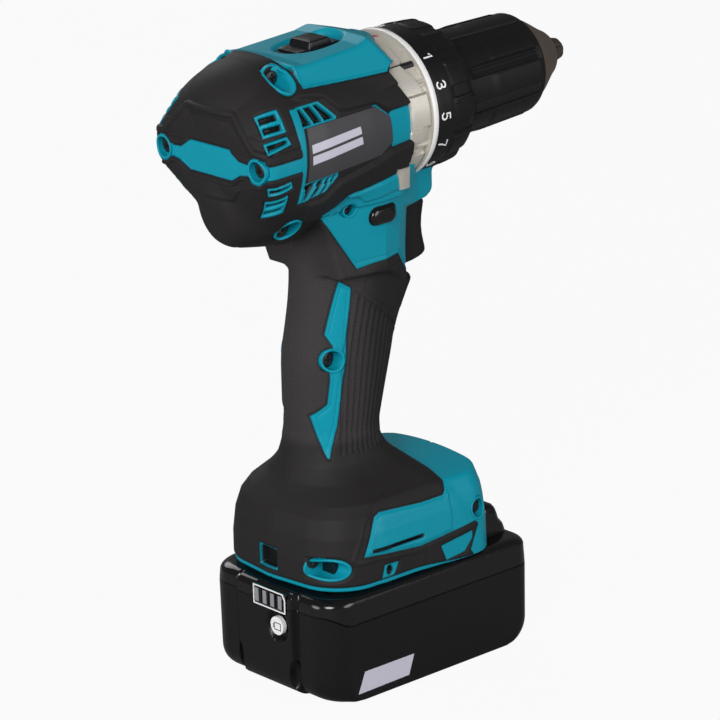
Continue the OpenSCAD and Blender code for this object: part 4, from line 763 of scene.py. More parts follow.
def moulded_shell(sizes, tints):
    """Two-shot moulding: satin ABS where the attribute "teal" is negative, grained elastomer elsewhere.
    Along the joint between them runs a fine line of painted shadow, the skin's distance is in millimetres,
    and on the coarse grain of the grip a paler rubber colour is painted as sheen."""
    m, tree, shader = new_material("two_shot_abs_and_elastomer", tints.shell, 0.4, Specular_IOR_Level=0.16)
    place = add(tree, "ShaderNodeTexCoord").outputs["Object"]
    zone, coarse = attribute(tree, "teal"), attribute(tree, "coarse")
    # a sharp change from shell to rubber along the zone's edge
    rubber = ramp(tree, zone, From_Min=-0.12, From_Max=0.12)
    # slow blotches of tint, as in any moulding, stronger in the rubber
    blot = add(tree, "ShaderNodeTexNoise", [(place, "Vector")], Scale=60.0, Detail=3.0).outputs["Fac"]
    abs_tint, soft_tint = (blend(tree, blot, shade(base, 1 - spread), shade(base, 1 + spread))
                           for base, spread in ((tints.shell, 0.04), (tints.rubber, 0.12)))
    # painted sheen: the coarse grain of the grip is drawn in a paler rubber, besides its coarser bump below
    soft_tint = blend(tree, coarse, soft_tint, shade(tints.rubber, 2.1))
    both = blend(tree, rubber, abs_tint, soft_tint)
    # painted shadow in the groove between the two materials
    off = add(tree, "ShaderNodeMath", [(zone, 0)], operation="ABSOLUTE").outputs[0]
    line = ramp(tree, off, From_Min=0.1, From_Max=0.45, To_Min=0.35, To_Max=1.0)
    groove_shaded = blend(tree, line, (0.002, 0.004, 0.005, 1), both)
    # painted shadow: near black inside the slots and openings
    deep = ramp(tree, attribute(tree, "dark"), From_Min=-0.1, From_Max=0.4)
    tree.links.new(blend(tree, deep, (0.0035, 0.0035, 0.004, 1), groove_shaded), shader.inputs["Base Color"])
    # grain: hardly any on the shell, fine on the rubber and coarse where the hand holds it
    fine = add(tree, "ShaderNodeTexNoise", [(place, "Vector")], Scale=1 / sizes.grain, Detail=2.0,
               Roughness=0.6)
    rough = ramp(tree, coarse, To_Min=0.00004, To_Max=0.0004)
    height = ramp(tree, rubber, [(rough, "To Max")], To_Min=0.00001)
    bump = add(tree, "ShaderNodeBump", [(fine.outputs["Fac"], "Height"), (height, "Distance")], Strength=0.9)
    tree.links.new(bump.outputs["Normal"], shader.inputs["Normal"])
    # the shell is glossier than the rubber
    tree.links.new(ramp(tree, rubber, To_Min=0.36, To_Max=0.58), shader.inputs["Roughness"])
    return m


def plain(name, base, roughness, size, height, spread, **sockets):
    """Moulded, cast or machined stock: noise of one grain's size in metres gives bump and uneven gloss, and
    slow blotches change the colour by spread."""
    m, tree, shader = new_material(name, base, roughness, **sockets)
    place = add(tree, "ShaderNodeTexCoord").outputs["Object"]
    grain = add(tree, "ShaderNodeTexNoise", [(place, "Vector")], Scale=1 / size, Detail=2.0,
                Roughness=0.55).outputs["Fac"]
    bump = add(tree, "ShaderNodeBump", [(grain, "Height")], Strength=1.0, Distance=height)
    tree.links.new(bump.outputs["Normal"], shader.inputs["Normal"])
    blot = add(tree, "ShaderNodeTexNoise", [(place, "Vector")], Scale=1 / (size * 28),
               Detail=3.0).outputs["Fac"]
    tree.links.new(blend(tree, blot, shade(base, 1 - spread), shade(base, 1 + spread)),
                   shader.inputs["Base Color"])
    tree.links.new(ramp(tree, grain, To_Min=roughness - 0.05, To_Max=roughness + 0.07),
                   shader.inputs["Roughness"])
    return m


def build_materials(sizes, tints):
    """Every finish by the name of what it is made of. Each row: name, colour, roughness, grain size, bump
    height, spread of the tint, then the shader's other sockets."""
    matt = {"Specular_IOR_Level": 0.3}
    rows = {
        # hard shell where it stands alone: low gloss, so that the colour stays full
        "teal": ("moulded_abs", tints.shell, 0.38, 0.0006, 0.000012, 0.04, {"Specular_IOR_Level": 0.16}),
        # soft parts: dull, with the grain of the mould
        "rubber": ("thermoplastic_elastomer", tints.rubber, 0.6, sizes.grain, 0.00008, 0.12, matt),
        # collar, sleeve and trigger: dark with a weak broad shine
        "plastic": ("glass_filled_nylon", tints.plastic, 0.45, 0.0005, 0.00002, 0.1,
                    {"Specular_IOR_Level": 0.22}),
        # upper battery case and buttons: crisp highlights along the edges
        "gloss": ("polished_polycarbonate", tints.gloss, 0.16, 0.004, 0.000006, 0.05,
                  {"Specular_IOR_Level": 0.35, "Coat_Weight": 0.35, "Coat_Roughness": 0.06}),
        # lower battery case: the same black, a little duller
        "satin": ("textured_polycarbonate", shade(tints.gloss, 1.3), 0.3, 0.0005, 0.00002, 0.08, matt),
        # gear case: pale warm metal with a sandy grain
        "casting": ("painted_die_casting", tints.casting, 0.34, 0.0009, 0.00006, 0.1, {"Metallic": 0.3}),
        # its rim: brighter and smooth
        "rim": ("bright_painted_rim", linear("#F1F0EE"), 0.33, 0.0008, 0.00001, 0.02, {}),
        # chuck: brown, oiled steel, darker on the jaws
        "nose": ("oiled_chuck_steel", tints.nose, 0.42, 0.0006, 0.00003, 0.1, {"Metallic": 0.35}),
        "jaw": ("phosphated_tool_steel", shade(tints.nose, 0.55), 0.45, 0.0004, 0.00004, 0.15,
                {"Metallic": 0.4}),
        # fasteners: bright plating inside, blackened where they show
        "steel": ("zinc_plated_steel", linear("#8E8F90"), 0.35, 0.0005, 0.00001, 0.08, {"Metallic": 1.0}),
        "screw": ("blackened_steel", linear("#3A3A3C"), 0.4, 0.0004, 0.00002, 0.1, {"Metallic": 0.8}),
        # print, labels and their fields: flat and even
        "print": ("printed_numerals", tints.print, 0.5, 0.0004, 0.000002, 0.03, {}),
        "label": ("vinyl_label", linear("#3B3A3E"), 0.42, 0.0006, 0.000004, 0.03, {}),
        "field": ("label_field", linear("#C6C3D2"), 0.5, 0.0006, 0.000004, 0.02, {}),
        "red": ("red_mark", linear("#B5202A"), 0.4, 0.0006, 0.000004, 0.03, {}),
        # push-button, gauge and lamp: white, smoked and clear, the last two under a clear coat
        "white": ("white_abs", linear("#EDEDED"), 0.35, 0.0006, 0.00001, 0.02, {}),
        "window": ("smoked_acrylic", linear("#8D8C92"), 0.2, 0.001, 0.000002, 0.04, {"Coat_Weight": 0.6}),
        "clear": ("clear_acrylic", linear("#D9DCDD"), 0.12, 0.002, 0.000002, 0.03, {"Coat_Weight": 0.8}),
        # painted shadow: nearly black, for what is seen only through slots and for the floors of bores
        "painted_shadow": ("inside_shadow", (0.004, 0.004, 0.004, 1), 0.8, 0.001, 0.00001, 0.05, {}),
    }
    finishes = {key: plain(*row[:-1], **row[-1]) for key, row in rows.items()}
    finishes["shell"] = moulded_shell(sizes, tints)
    return finishes


# ---- Skins of the housing ----

WALL = 2.6  # thickness of the mouldings
TURNED_IN = np.array([0.012, 0.1])[:, None, None]  # steps of an edge inward, as shares of the way in
COVER_INSIDE = (-52.0, 0.0, -3.0)  # where the cover's rays start, in the barrel's frame


def layered(teal, dark, coarse):
    """Values that colour a skin: distance to the shell and to the painted shadow, and how coarse the grain is
    (also a painted sheen).
    """
    return {"teal": np.clip(teal, -5, 5), "dark": np.clip(dark, -5, 5), "coarse": coarse}


def layers_of(p, b):
    """Those values for the housing: the grain is coarse on the back of the grip, which is also painted paler
    as sheen.
    """
    coarse = step(p[..., 2], 96, 104) * step(192 - p[..., 2], 0, 14) * step(-12 - p[..., 0], -6, 10)
    return layered(teal_distance(p, b), dark_distance(p, b), coarse)


def extend(layers, rows, poles=0):
    """The same values for a grid with hidden rows added at its end and poles closing it."""
    out = {}
    for key, fill in (("teal", 5.0), ("dark", 5.0), ("coarse", 0.0)):
        grid = layers[key]
        grid = np.concatenate([grid, np.full((rows - len(grid), grid.shape[1]), fill)])
        out[key] = np.concatenate([grid.ravel(), np.full(poles, fill)])
    return out


def skin(field, detail, origin, target, reach=90.0):
    """Rays from origin toward target meet the form, and the relief moves each point along the form's normal.
    Returns the points and the values that colour them."""
    way = target - origin
    way = way / np.linalg.norm(way, axis=-1, keepdims=True)
    p = origin + way * cast(field, origin, way, reach)[..., None]
    b = to_barrel(p)
    n = normals(field, p)
    return p + n * detail(p, b)[..., None], layers_of(p, b)


def seam_x(angle):
    """Where the rear cover meets the housing, along the barrel, for an angle from the top."""
    return np.interp(angle, [0, 40, 65, 83, 96, 113, 124, 139, 148, 156, 167, 180],
                     [-57.4, -58.4, -59.3, -58.0, -58.5, -59.8, -60.2, -58.9, -59.4, -63.4, -69.4, -70.4])


def unrolled(b):
    """For the cover: where the way out from inside it crosses a tube of the barrel's size, and the turn from
    the top."""
    angle, r = around(b)
    start, tube = COVER_INSIDE[0], 35
    return start + (b[..., 0] - start) * tube / np.maximum(r, 1.0), angle * TURN


def nearest(u, v, shapes):
    """Signed distance to the nearest of some outlines on the barrel."""
    return np.min([polygon(u, v, turned(pts)) for pts in shapes], 0)


def cover_relief(p, b):
    """Frame, teal plate, vents and lines of the rear cover."""
    bead, sink, groove, fine, raised, vents = 0.9, 0.6, 0.4, 0.3, 0.25, 2.4
    y, z, u = b[..., 1], b[..., 2], b[..., 0]
    w, v = unrolled(b)
    rear = np.where(u < -70, 1, 0)
    upper = polygon(y, z, FRAME + [[-40, 5.6], [-40, 3.0], [40, 3.0], [40, 5.6]])
    h = rear * (bead * ridge(polyline(y, z, FRAME), 0.5, 0.9) - bead * step(-upper, 1.2, 2.6))
    h = h + rear * fine * ridge(polyline(y, z, FRAME_IN), 0.25, 0.5)
    plate = polygon(y, z, HEX)
    h = h - rear * (sink * step(-plate, -0.2, 0.3) + sink * ridge(plate - 0.3, 0.12, 0.35))
    h = h + rear * bead * ridge(polyline(y, z, SKIRT), 0.5, 0.7)
    h = h + rear * bead * step(-polygon(y, z, SKIRT_LOW), -0.2, 1.0)
    crease = polyline(w, v, turned([[-82, 80.5], [-75, 79.7], [-56, 80.6]]))
    h = h - groove * ridge(crease, 0.2, 0.4) * step(w, -78, -75)
    fold = polyline(w, v, turned([[-83, 59.0], [-76, 68.0], [-74.5, 69.0], [-64, 69.4], [-56, 68.6]]))
    h = h - fine * ridge(fold, 0.15, 0.35) * np.where(w > -82, 1, 0)
    strip = strip_distance(b)
    side = np.where(np.abs(y) > 30, 1, 0)
    h = h - side * (fine * step(-strip, -0.2, 0.3) + groove * ridge(strip - 0.25, 0.12, 0.3))
    frames = nearest(w, v, COVER_FRAMES) - 0.5
    h = h - groove * ridge(frames - 0.2, 0.12, 0.3) + raised * step(-frames, 0.2, 0.5)
    return h - vents * step(-nearest(w, v, COVER_SLOTS), -0.15, 0.35)


def cover_layers(b):
    """Teal plate behind, the strips that run forward from it and the frames of the vents; slots painted dark
    as shadow.
    """
    y, z, u = b[..., 1], b[..., 2], b[..., 0]
    w, v = unrolled(b)
    plate = np.where(u < -66, polygon(y, z, HEX), 50.0)
    strip = np.where(np.abs(y) > 22, strip_distance(b), 50.0)
    rim = np.hypot(np.abs(y) - 27.5, z + 0.3) - 5.3
    teal = np.minimum(np.minimum(plate, strip), np.where(u < -66, rim, 50.0))
    teal = np.minimum(teal, nearest(w, v, COVER_FRAMES) - 0.5)
    dark = nearest(w, v, COVER_SLOTS) + 0.35
    return layered(teal, dark, np.zeros(teal.shape))


def with_wall(grid, origin, every):
    """Adds an inner skin that returns along the rays, so the shell has a thickness and stays closed. It has
    one row for each few of the outer skin's."""
    inner = grid[::-1][::every]
    way = origin[::-1][::every] - inner
    span = np.linalg.norm(way, axis=-1, keepdims=True)
    return np.concatenate([grid, inner + way / np.maximum(span, 1e-6) * np.minimum(WALL, span * 0.9)])


def housing_skin(name, shape, layers, material, replaces=()):
    """A skin of the housing, smooth except at the sharpest folds."""
    return make(name, [part(shape, 0, layers)], "drill", [material], sharp=75.0, replaces=replaces)


def make_cover(mats):
    """Guide points run from the middle of the back, out to the corner and forward to the seam; rays from
    one point inside meet the form on the way to them."""
    turns, corner_x, corner_r = 600, -68.0, 35.5
    a = np.arange(turns) * TAU / turns
    angle = np.degrees(np.minimum(a, TAU - a))
    one = np.ones(turns)
    rows = [(COVER_BACK * one, r * one) for r in np.arange(0.4, 33.0, 0.5)]
    rows += [((COVER_BACK + 7.5 * t) * one, (33 + 2.5 * math.sin(t * math.pi / 2)) * one)
             for t in np.linspace(0, 1, 20, endpoint=False)]
    rows += [(corner_x + (seam_x(angle) - 0.12 - corner_x) * t, corner_r * one)
             for t in np.linspace(0, 1, 30)]
    x, r = np.array(rows).transpose(1, 0, 2)
    target = from_barrel(np.stack([x, -r * np.sin(a), r * np.cos(a)], -1))
    origin = from_barrel(np.broadcast_to(np.array(COVER_INSIDE), target.shape))
    p, _ = skin(cover_field, cover_relief, origin, target)
    p = np.concatenate([p, p[-1:] + (origin[-1:] - p[-1:]) * TURNED_IN])
    layers = cover_layers(to_barrel(p))
    full = with_wall(p, np.concatenate([origin, origin[-1:], origin[-1:]]), 8)
    layers = extend(layers, len(full), 2)
    layers["teal"][-2] = -5.0
    return housing_skin("rear_cover_skin", capped(full, flip=True), layers, mats["shell"],
                        ("rear_cover", "rear_cover_grip"))


def cover_field(p):
    """The barrel and chin behind the seam, less the bores that open on the cover."""
    b = to_barrel(p)
    return bored(smin(barrel_field(b), chin_field(b), 9.0), p, ("rear", "top", "low"))


def upper_field(p):
    """The housing above the line where the barrel's grid hands over, drawn in below it."""
    return housing_field(p) + np.clip((cut_height(p[..., 0]) - p[..., 2]) * 0.25, 0.0, 1.6)


def front_x(angle):
    """Front edge of the housing along the barrel, for an angle from the top."""
    return np.interp(angle, [0, 14, 22, 31, 42, 45, 50, 68, 77, 104, 122, 145, 180],
                     [5, 4.6, 1.0, 3.0, 1.0, -2.6, -5.0, 0.0, 2.7, 2.2, 3.4, 5.0, 5.5])


def make_barrel_skin(mats):
    """Rays out from the spindle's axis meet the form between the seam and the front edge; where the form
    runs on down into the grip they stop at a surface a little below the handover line."""
    turns, rows = 600, 136
    farthest, below = 62.0, 7.0
    a = np.arange(turns) * TAU / turns
    angle = np.degrees(np.minimum(a, TAU - a))
    t = np.linspace(0, 1, rows)[:, None]
    x = (seam_x(angle) + 0.12) * (1 - t) + front_x(angle) * t
    s, c = np.broadcast_to(np.sin(a), x.shape), np.broadcast_to(np.cos(a), x.shape)
    origin = from_barrel(np.stack([x, -2 * s, 2 * c], -1))
    way = turn_only(np.stack([0 * x, -s, c], -1))
    above = origin[..., 2] - cut_height(origin[..., 0]) + below
    drop = np.where(way[..., 2] < -0.05, above / np.maximum(-way[..., 2], 0.05), 99.0)
    reach = np.minimum(cast(upper_field, origin, way, farthest + 2.0), np.minimum(drop, farthest))
    p = origin + way * reach[..., None]
    b = to_barrel(p)
    h = np.where(reach < drop - 0.01, relief(p, b), 0)
    p = p + normals(upper_field, p) * h[..., None]
    layers = {key: np.concatenate([np.repeat(g[:1], 2, 0), g, np.repeat(g[-1:], 2, 0)])
              for key, g in layers_of(p, b).items()}
    first = p[:1] + (origin[:1] - p[:1]) * TURNED_IN[::-1]
    last = p[-1:] + (origin[-1:] - p[-1:]) * TURNED_IN
    inside = np.concatenate([origin[:1], origin[:1], origin, origin[-1:], origin[-1:]])
    full = with_wall(np.concatenate([first, p, last]), inside, 10)
    return housing_skin("barrel_skin", ring(full, flip=True), extend(layers, len(full)),
                        mats["shell"], ("housing_right", "housing_left", "grip_right", "grip_left"))


def lower_field(p):
    """The housing below the handover line, drawn in above it and inside the foot, less the trigger's pocket.
    It ends in a flat face under the collar."""
    x, y, z = p[..., 0], np.abs(p[..., 1]), p[..., 2]
    f = smax(housing_field(p), x - NOSE_FRONT, 1.5) + np.clip((z - cut_height(x)) * 0.3, 0.0, 1.6)
    f = f + np.clip((FOOT_TOP - z) * 0.3, 0.0, 1.6)
    pocket = smax(y - 9.3, smax(3.0 - x, np.abs(z - 173.5) - 15.6, 0.6), 0.6)
    return smax(f, -pocket, 0.5)


def make_grip_skin(mats):
    """Level rays out from a leaning line inside the grip meet the form, from the foot up to the barrel."""
    turns, rows, bottom, top, longer = 400, 236, 85.0, 208.0, 1.25  # longer: fore and aft than across
    a = np.arange(turns) * TAU / turns
    z = np.linspace(bottom, top, rows)[:, None]
    x = np.interp(z, [85, 97, 133, 170, 208], [-20, -18.5, -13.5, -10, -8])
    way = np.stack([np.cos(a) * longer, np.sin(a), 0 * a], -1) + np.zeros((len(z), 1, 1))
    origin = np.stack(np.broadcast_arrays(x, 0.0, z + 0 * a), -1)
    p, layers = skin(lower_field, relief, origin, origin + way, 60.0)
    middle = p[-1].mean(0)
    sunk = middle + (p[-1:] - middle) * np.array((0.85, 0.85, 1.0)) - np.array((0.0, 0.0, 6.0))
    return housing_skin("grip_skin", capped(np.concatenate([p, sunk])), extend(layers, len(p) + 1, 2),
                        mats["shell"])


def foot_plain(p):
    """The foot and the root of the grip."""
    return smin(foot_field(p), grip_field(p), 6.0)


def foot_only(p):
    """The same less its bores, drawn in above the handover to the grip."""
    return bored(foot_plain(p), p, ("foot", "side")) + np.clip((p[..., 2] - FOOT_TOP) * 0.3, 0.0, 1.6)


def make_foot_skin(mats):
    """Rays from a short line inside the foot, from below level to steeply up, meet its sides and roof."""
    turns, bottom, roof, rise = 560, 42.6, 80.0, 11
    a = np.arange(turns) * TAU / turns
    squared = [half * np.sign(f) * np.abs(f) ** 0.75 for half, f in ((47, np.cos(a)), (38, np.sin(a)))]
    corner = np.stack(squared, -1)
    rows = [np.column_stack([corner, np.full(turns, z)]) for z in np.arange(bottom, roof, 0.55)]
    rows += [np.column_stack([corner * (1 - 0.5 * t), np.full(turns, roof + rise * t)])
             for t in np.linspace(0, 1, 62)[1:]]
    target = np.array(rows)
    target[..., 0] += -7.0 - 8.0 * np.clip((target[..., 2] - roof) / rise, 0, 1)
    origin = np.zeros_like(target)
    low = np.clip((96 - target[..., 2]) / 30, 0, 1)
    origin[..., 0] = -8.0 + np.clip(target[..., 0] + 8, -22, 16) * 0.7 * low
    origin[..., 2] = np.clip(target[..., 2], bottom, 52.0)
    p, layers = skin(foot_only, foot_relief, origin, target, 80.0)
    return housing_skin("foot_skin", capped(p), extend(layers, len(p), 2), mats["shell"])


def screw_head(a, radius):
    """Domed head with a cross recess, as rows of (across, up, out) round its middle."""
    rows = [(radius, -0.4)]
    rows += [(radius * k, 0.9 + 0.5 * math.sqrt(max(0, 1 - k * k))) for k in np.linspace(1, 0.04, 16)]
    r, out = (np.array(column)[:, None] + 0 * a for column in zip(*rows))
    x, y = r * np.cos(a), r * np.sin(a)
    narrow, wide = np.minimum(np.abs(x), np.abs(y)), np.maximum(np.abs(x), np.abs(y))
    cross = np.maximum(narrow - 0.13 * radius, wide - 0.55 * radius)
    return np.stack([x, y, out - 0.9 * step(-cross, -0.05, 0.12) * (out > 0)], -1)


def well_parts(centre, way, across, radii, field, screw, flip, proud):
    """A tube from the floor of a bore to just above the skin, its floor, and the head of a screw."""
    up = np.cross(way, across)
    axes = np.array([across, up, way])
    a = np.arange(56) * TAU / 56

    def loop(grow, lift):
        """Outline of the bore, larger by grow, at a height above its floor."""
        x, y = np.cos(a) * (radii[0] + grow), np.sin(a) * (radii[1] + grow)
        return centre + np.stack([x, y, lift + 0 * a], -1) @ axes

    start = loop(0.5, 0.0)
    top = cast(field, start, np.broadcast_to(way, start.shape), 26.0, 1.0)
    tube = np.stack([loop(0.9, -0.8), loop(0.95, top - 0.3), loop(0.95, top + proud - 0.2),
                     loop(0.75, top + proud), loop(0.3, top + proud), loop(0.0, top + proud - 0.25),
                     loop(0.0, top * 0.5), loop(0.0, -0.8)])
    floor = np.stack([loop(0.3, -0.6), loop(0.3, 0.0), loop(-radii[1] * 0.6, 0.0)])
    parts = [part(ring(tube, flip)), part(capped(floor, flip), 1)]
    if screw:
        parts.append(part(capped(centre + screw_head(a, screw) @ axes, flip), 2))
    return parts


def make_wells(mats):
    """The bores of the housing's screws, on both sides, each lined with the hard shell."""
    screws = {"top": 2.7, "low": 2.7, "rear": 2.7, "switch": 2.0, "grip": 2.9}
    for name, centre, way, r1, r2, in_barrel in WELLS:
        parts = []
        field = foot_plain if name in ("foot", "side") else whole_field
        proud = 0.02 if name in ("switch", "side", "foot") else 0.3
        for side in ((-1,) if centre == STRAP_SLOT else (-1, 1)):
            floor, out = np.array(centre) * (1, side, 1), np.array(way, float) * (1, side, 1)
            across = np.array((0.0, 1.0, 0.0) if way == BACKWARD else (1.0, 0.0, 0.0))
            if in_barrel:
                floor, out, across = from_barrel(floor), turn_only(out), turn_only(across)
            parts += well_parts(floor, out, across, (r1, r2), field, screws.get(name),
                                side > 0 or way == BACKWARD, proud)
        # floors of the bores are painted near black as shadow, the foot's alone in shell
        bed = mats["teal" if name == "foot" else "painted_shadow"]
        make("well_" + name, parts, "drill", [mats["teal"], bed, mats["screw"]])


def patch_rings(outline, rows=14):
    """Rings between the middle of an outline and its edge, with the edge twice."""
    loop = round_outline(outline, 24)
    mid = loop.mean(0)
    return mid + (loop - mid) * np.append(np.linspace(0.03, 1.0, rows), 1.0)[:, None, None]


def set_off(height, depth, rows):
    """How far each ring of a patch stands off the skin: all by height, the second edge sunk by depth."""
    return np.append(np.full(rows, height), height - depth)[:, None]


def patch_grid(outline, height, rows=14, field=whole_field):
    """Points of a flat-edged patch on the barrel: along it and degrees round it, set off the skin."""
    grid = patch_rings(outline, rows)
    a = np.radians(grid[..., 1])
    origin = from_barrel(np.stack([grid[..., 0], 0 * a, 0 * a], -1))
    way = turn_only(np.stack([0 * a, -np.sin(a), np.cos(a)], -1))
    return origin + way * (cast(field, origin, way, 50.0) + set_off(height, 0.8, rows))[..., None]


def make_labels(mats):
    """Blank rating plate on each side with two pale fields, set into the band."""
    within, plate_depth, field_depth = np.array([0.965, 0.95]), 0.32, 0.22
    plate = np.array(LABEL)
    plate = plate.mean(0) + (plate - plate.mean(0)) * within
    blanks = [(plate, plate_depth, 0)] + [(field, field_depth, 1) for field in FIELDS]
    for side, name in ((1, "right"), (-1, "left")):
        parts = [part(capped(patch_grid(outline, -depth) * (1, side, 1), flip=side < 0), index)
                 for outline, depth, index in blanks]
        make("label_" + name, parts, "drill", [mats["label"], mats["field"]])


# ---- Gear case, collar and chuck ----

RIM = 12.3  # where the gear case's rim starts, along the barrel
COLLAR_RADIUS = 29.5  # of its smooth numbered band
BAND_MIDDLE = 19.7  # middle of the collar's numbered band, along the barrel
CASE_PADS = (  # height, two places along the barrel (None: a slanting edge), two in degrees from the top
    (1.0, -20, 5.4, -5, 20), (2.0, -20, 6.2, 23, 42.6), (1.5, -20, None, 44.6, 70.4),
    (1.8, -20, 11.6, 72, 96.5), (1.5, -20, 8.8, 98.4, 108), (1.7, -20, 11.0, 121, 140),
    (1.3, -20, 7.0, 144, 185), (1.3, 8.0, 12.2, 60.6, 62.0), (0.9, 9.6, 12.2, 66, 70.4),
    (1.1, 7.0, 12.2, 113, 115))


def pad(x, angle, x0, x1, a0, a1, soft=0.5):
    """1 over a rectangle along the barrel and round it, falling to 0 over soft millimetres."""
    along = step(x, x0 - soft, x0) * step(x1 - x, -soft, 0)
    return along * step(angle, a0 - 1.6 * soft, a0) * step(a1 - angle, -1.6 * soft, 0)


def case_radius(x, angle, r):
    """Cast pads that step down to a trough behind the rim, and thin ribs across the trough."""
    a = np.minimum(angle, 360 - angle)
    slant = np.interp(a, [44, 58, 70], [5.0, 8.4, 10.8])
    h = np.max([height * pad(x, a, x0, slant if x1 is None else x1, a0, a1)
                for height, x0, x1, a0, a1 in CASE_PADS], 0)
    return r + np.where(x < RIM, h, 0) * step(x - front_x(a), -0.9, -0.2)


def case_front(p):
    """The casting just behind the rim, as a plain tube."""
    return around(to_barrel(p))[1] - 27.7


def side_patch(outline, height, rows=10):
    """Points of a patch on the tool's right side, given from the side in millimetres."""
    grid = patch_rings(outline, rows)
    origin = np.stack([grid[..., 0], 0 * grid[..., 0], grid[..., 1]], -1)
    way = np.broadcast_to(np.array([0.0, -1.0, 0.0]), origin.shape)
    return origin + way * (cast(whole_field, origin, way, 42.0) + set_off(height, 2.8, rows))[..., None]


def make_gear_case(mats):
    """Casting between housing and collar, with its bright rim and the neck inside the collar, a tab that
    laps over the housing on each side, and the mark that the collar's numbers point to."""
    body = [[-18, 23.0], [-18, 27.4]] + [[x, 27.5 + 0.02 * x] for x in np.arange(-16, 12.2, 0.35)]
    body += [[12.2, 27.8], [RIM, 29.4], [12.5, 29.9], [12.9, 29.9], [13.1, 19.3], [38.6, 19.3], [38.6, 15.0],
             [13.2, 15.0], [12.4, 25.5], [-17, 25.5]]
    rim = [[12.7, 29.0], [12.7, 29.8], [13.0, 30.05], [15.2, 30.05], [15.5, 29.8], [15.5, 27.0], [12.8, 27.0]]
    parts = [part(ring(lathe(body, 360, case_radius), flip=True)), part(ring(lathe(rim, 240), flip=True), 1)]
    make("gear_case_skin", parts, "drill", [mats["casting"], mats["rim"]], sharp=45.0,
         replaces=("gear_case",))
    tab = side_patch([[-3.6, 208.0], [4.2, 207.4], [5.5, 198.6], [-1.5, 199.4]], 2.1)
    tabs = [part(capped(tab * (1, side, 1), flip=side < 0)) for side in (1, -1)]
    make("gear_case_tabs", tabs, "drill", [mats["casting"]])
    arrow = patch_grid([[11.9, -4.0], [11.9, 4.0], [8.9, 0.4], [8.9, -0.4]], 0.1, rows=6, field=case_front)
    make("pointer_mark", [part(capped(arrow))], "drill", [mats["red"]])


def collar_radius(x, angle, r):
    """Finger ribs on the front half: flat lands with steps between them."""
    pitch = 30.0
    a = np.mod(angle + 9.0, pitch)
    land = step(a, 0.0, 0.8) * step(21.0 - a, 0.0, 0.8)
    fine = ridge(np.mod(angle + 2.0, pitch) - 27.0, 0.6, 0.8)
    front = step(x, 24.6, 25.6) * step(38.9 - x, 0.0, 0.5)
    return r + front * (0.75 * land + 0.45 * fine - 0.3)


def profile(start, end, pitch, stations, radii):
    """Points of a turned outline from start to end, between the radii at the given stations."""
    return [[x, np.interp(x, stations, radii)] for x in np.arange(start, end, pitch)]


def make_collar(mats):
    """Torque collar with the settings printed round its smooth rear band, odd numbers and a drill bit."""
    r = COLLAR_RADIUS
    prof = [[15.9, 22.0], [15.9, r - 0.6], [16.2, r - 0.2], [17.0, r]]
    prof += profile(17.5, 24.4, 1.0, [0, 1], [r, r])
    prof += profile(24.4, 38.2, 0.4, [24.4, 29, 33.5, 35.5, 37, 38.2], [29.3, 29.0, 28.5, 27.9, 26.9, 25.3])
    prof += [[38.5, 24.7], [38.7, 24.1], [38.8, 23.5], [38.8, 21.8], [30, 21.8]]
    make("torque_collar_skin", [part(ring(lathe(prof, 480, collar_radius), flip=True))], "collar",
         [mats["plastic"]], sharp=32.0, replaces=("torque_collar",))
    size = bpy.context.scene.drill_sizes.numeral / MM
    first, pitch, half = 44.8, 24.1, 0.085 * size
    parts = [printed(stroke, first + pitch * k, half)
             for k in range(11) for stroke in numeral(2 * k + 1, size)]
    bit = [[[0.0, -1.4], [0.0, 1.4]]] + [[[-1.3, up], [1.3, up]] for up in (-0.8, 0.0, 0.8)]
    parts += [printed(stroke, -11.0, 0.3) for stroke in bit]
    make("collar_numerals", parts, "collar", [mats["print"]])


STROKES = {  # of each digit, across and up, as shares of its height
    "0": [[[0.3, 1], [0.1, 0.9], [0, 0.5], [0.1, 0.1], [0.3, 0], [0.5, 0.1], [0.6, 0.5], [0.5, 0.9],
           [0.3, 1]]],
    "1": [[[0.08, 0.76], [0.36, 1], [0.36, 0]]],
    "2": [[[0, 0.8], [0.1, 0.95], [0.3, 1], [0.52, 0.93], [0.58, 0.74], [0.5, 0.55], [0, 0], [0.6, 0]]],
    "3": [[[0, 0.86], [0.14, 0.98], [0.34, 1], [0.54, 0.9], [0.56, 0.7], [0.44, 0.56], [0.24, 0.53]],
          [[0.44, 0.52], [0.58, 0.36], [0.58, 0.18], [0.48, 0.04], [0.28, 0], [0.1, 0.04], [0, 0.16]]],
    "5": [[[0.55, 1], [0.1, 1], [0.05, 0.55], [0.3, 0.62], [0.52, 0.52], [0.6, 0.32], [0.5, 0.08], [0.28, 0],
           [0.1, 0.03], [0, 0.16]]],
    "7": [[[0, 1], [0.6, 1], [0.34, 0.5], [0.2, 0]]],
    "9": [[[0.58, 0.7], [0.5, 0.92], [0.3, 1], [0.1, 0.92], [0.02, 0.7], [0.1, 0.5], [0.3, 0.42], [0.52, 0.5],
           [0.58, 0.7], [0.56, 0.36], [0.42, 0.08], [0.16, 0]]],
}


def numeral(value, size):
    """Strokes of a number, centred: across to the right, up."""
    advance, half_width, half_height = 0.82, 0.3, 0.5  # shares of the height
    text = str(value)
    out = []
    for i, c in enumerate(text):
        for stroke in STROKES[c]:
            pts = np.array(stroke) * size
            pts[:, 0] += (i - (len(text) - 1) / 2) * advance * size - half_width * size
            pts[:, 1] -= half_height * size
            out.append(pts)
    return out


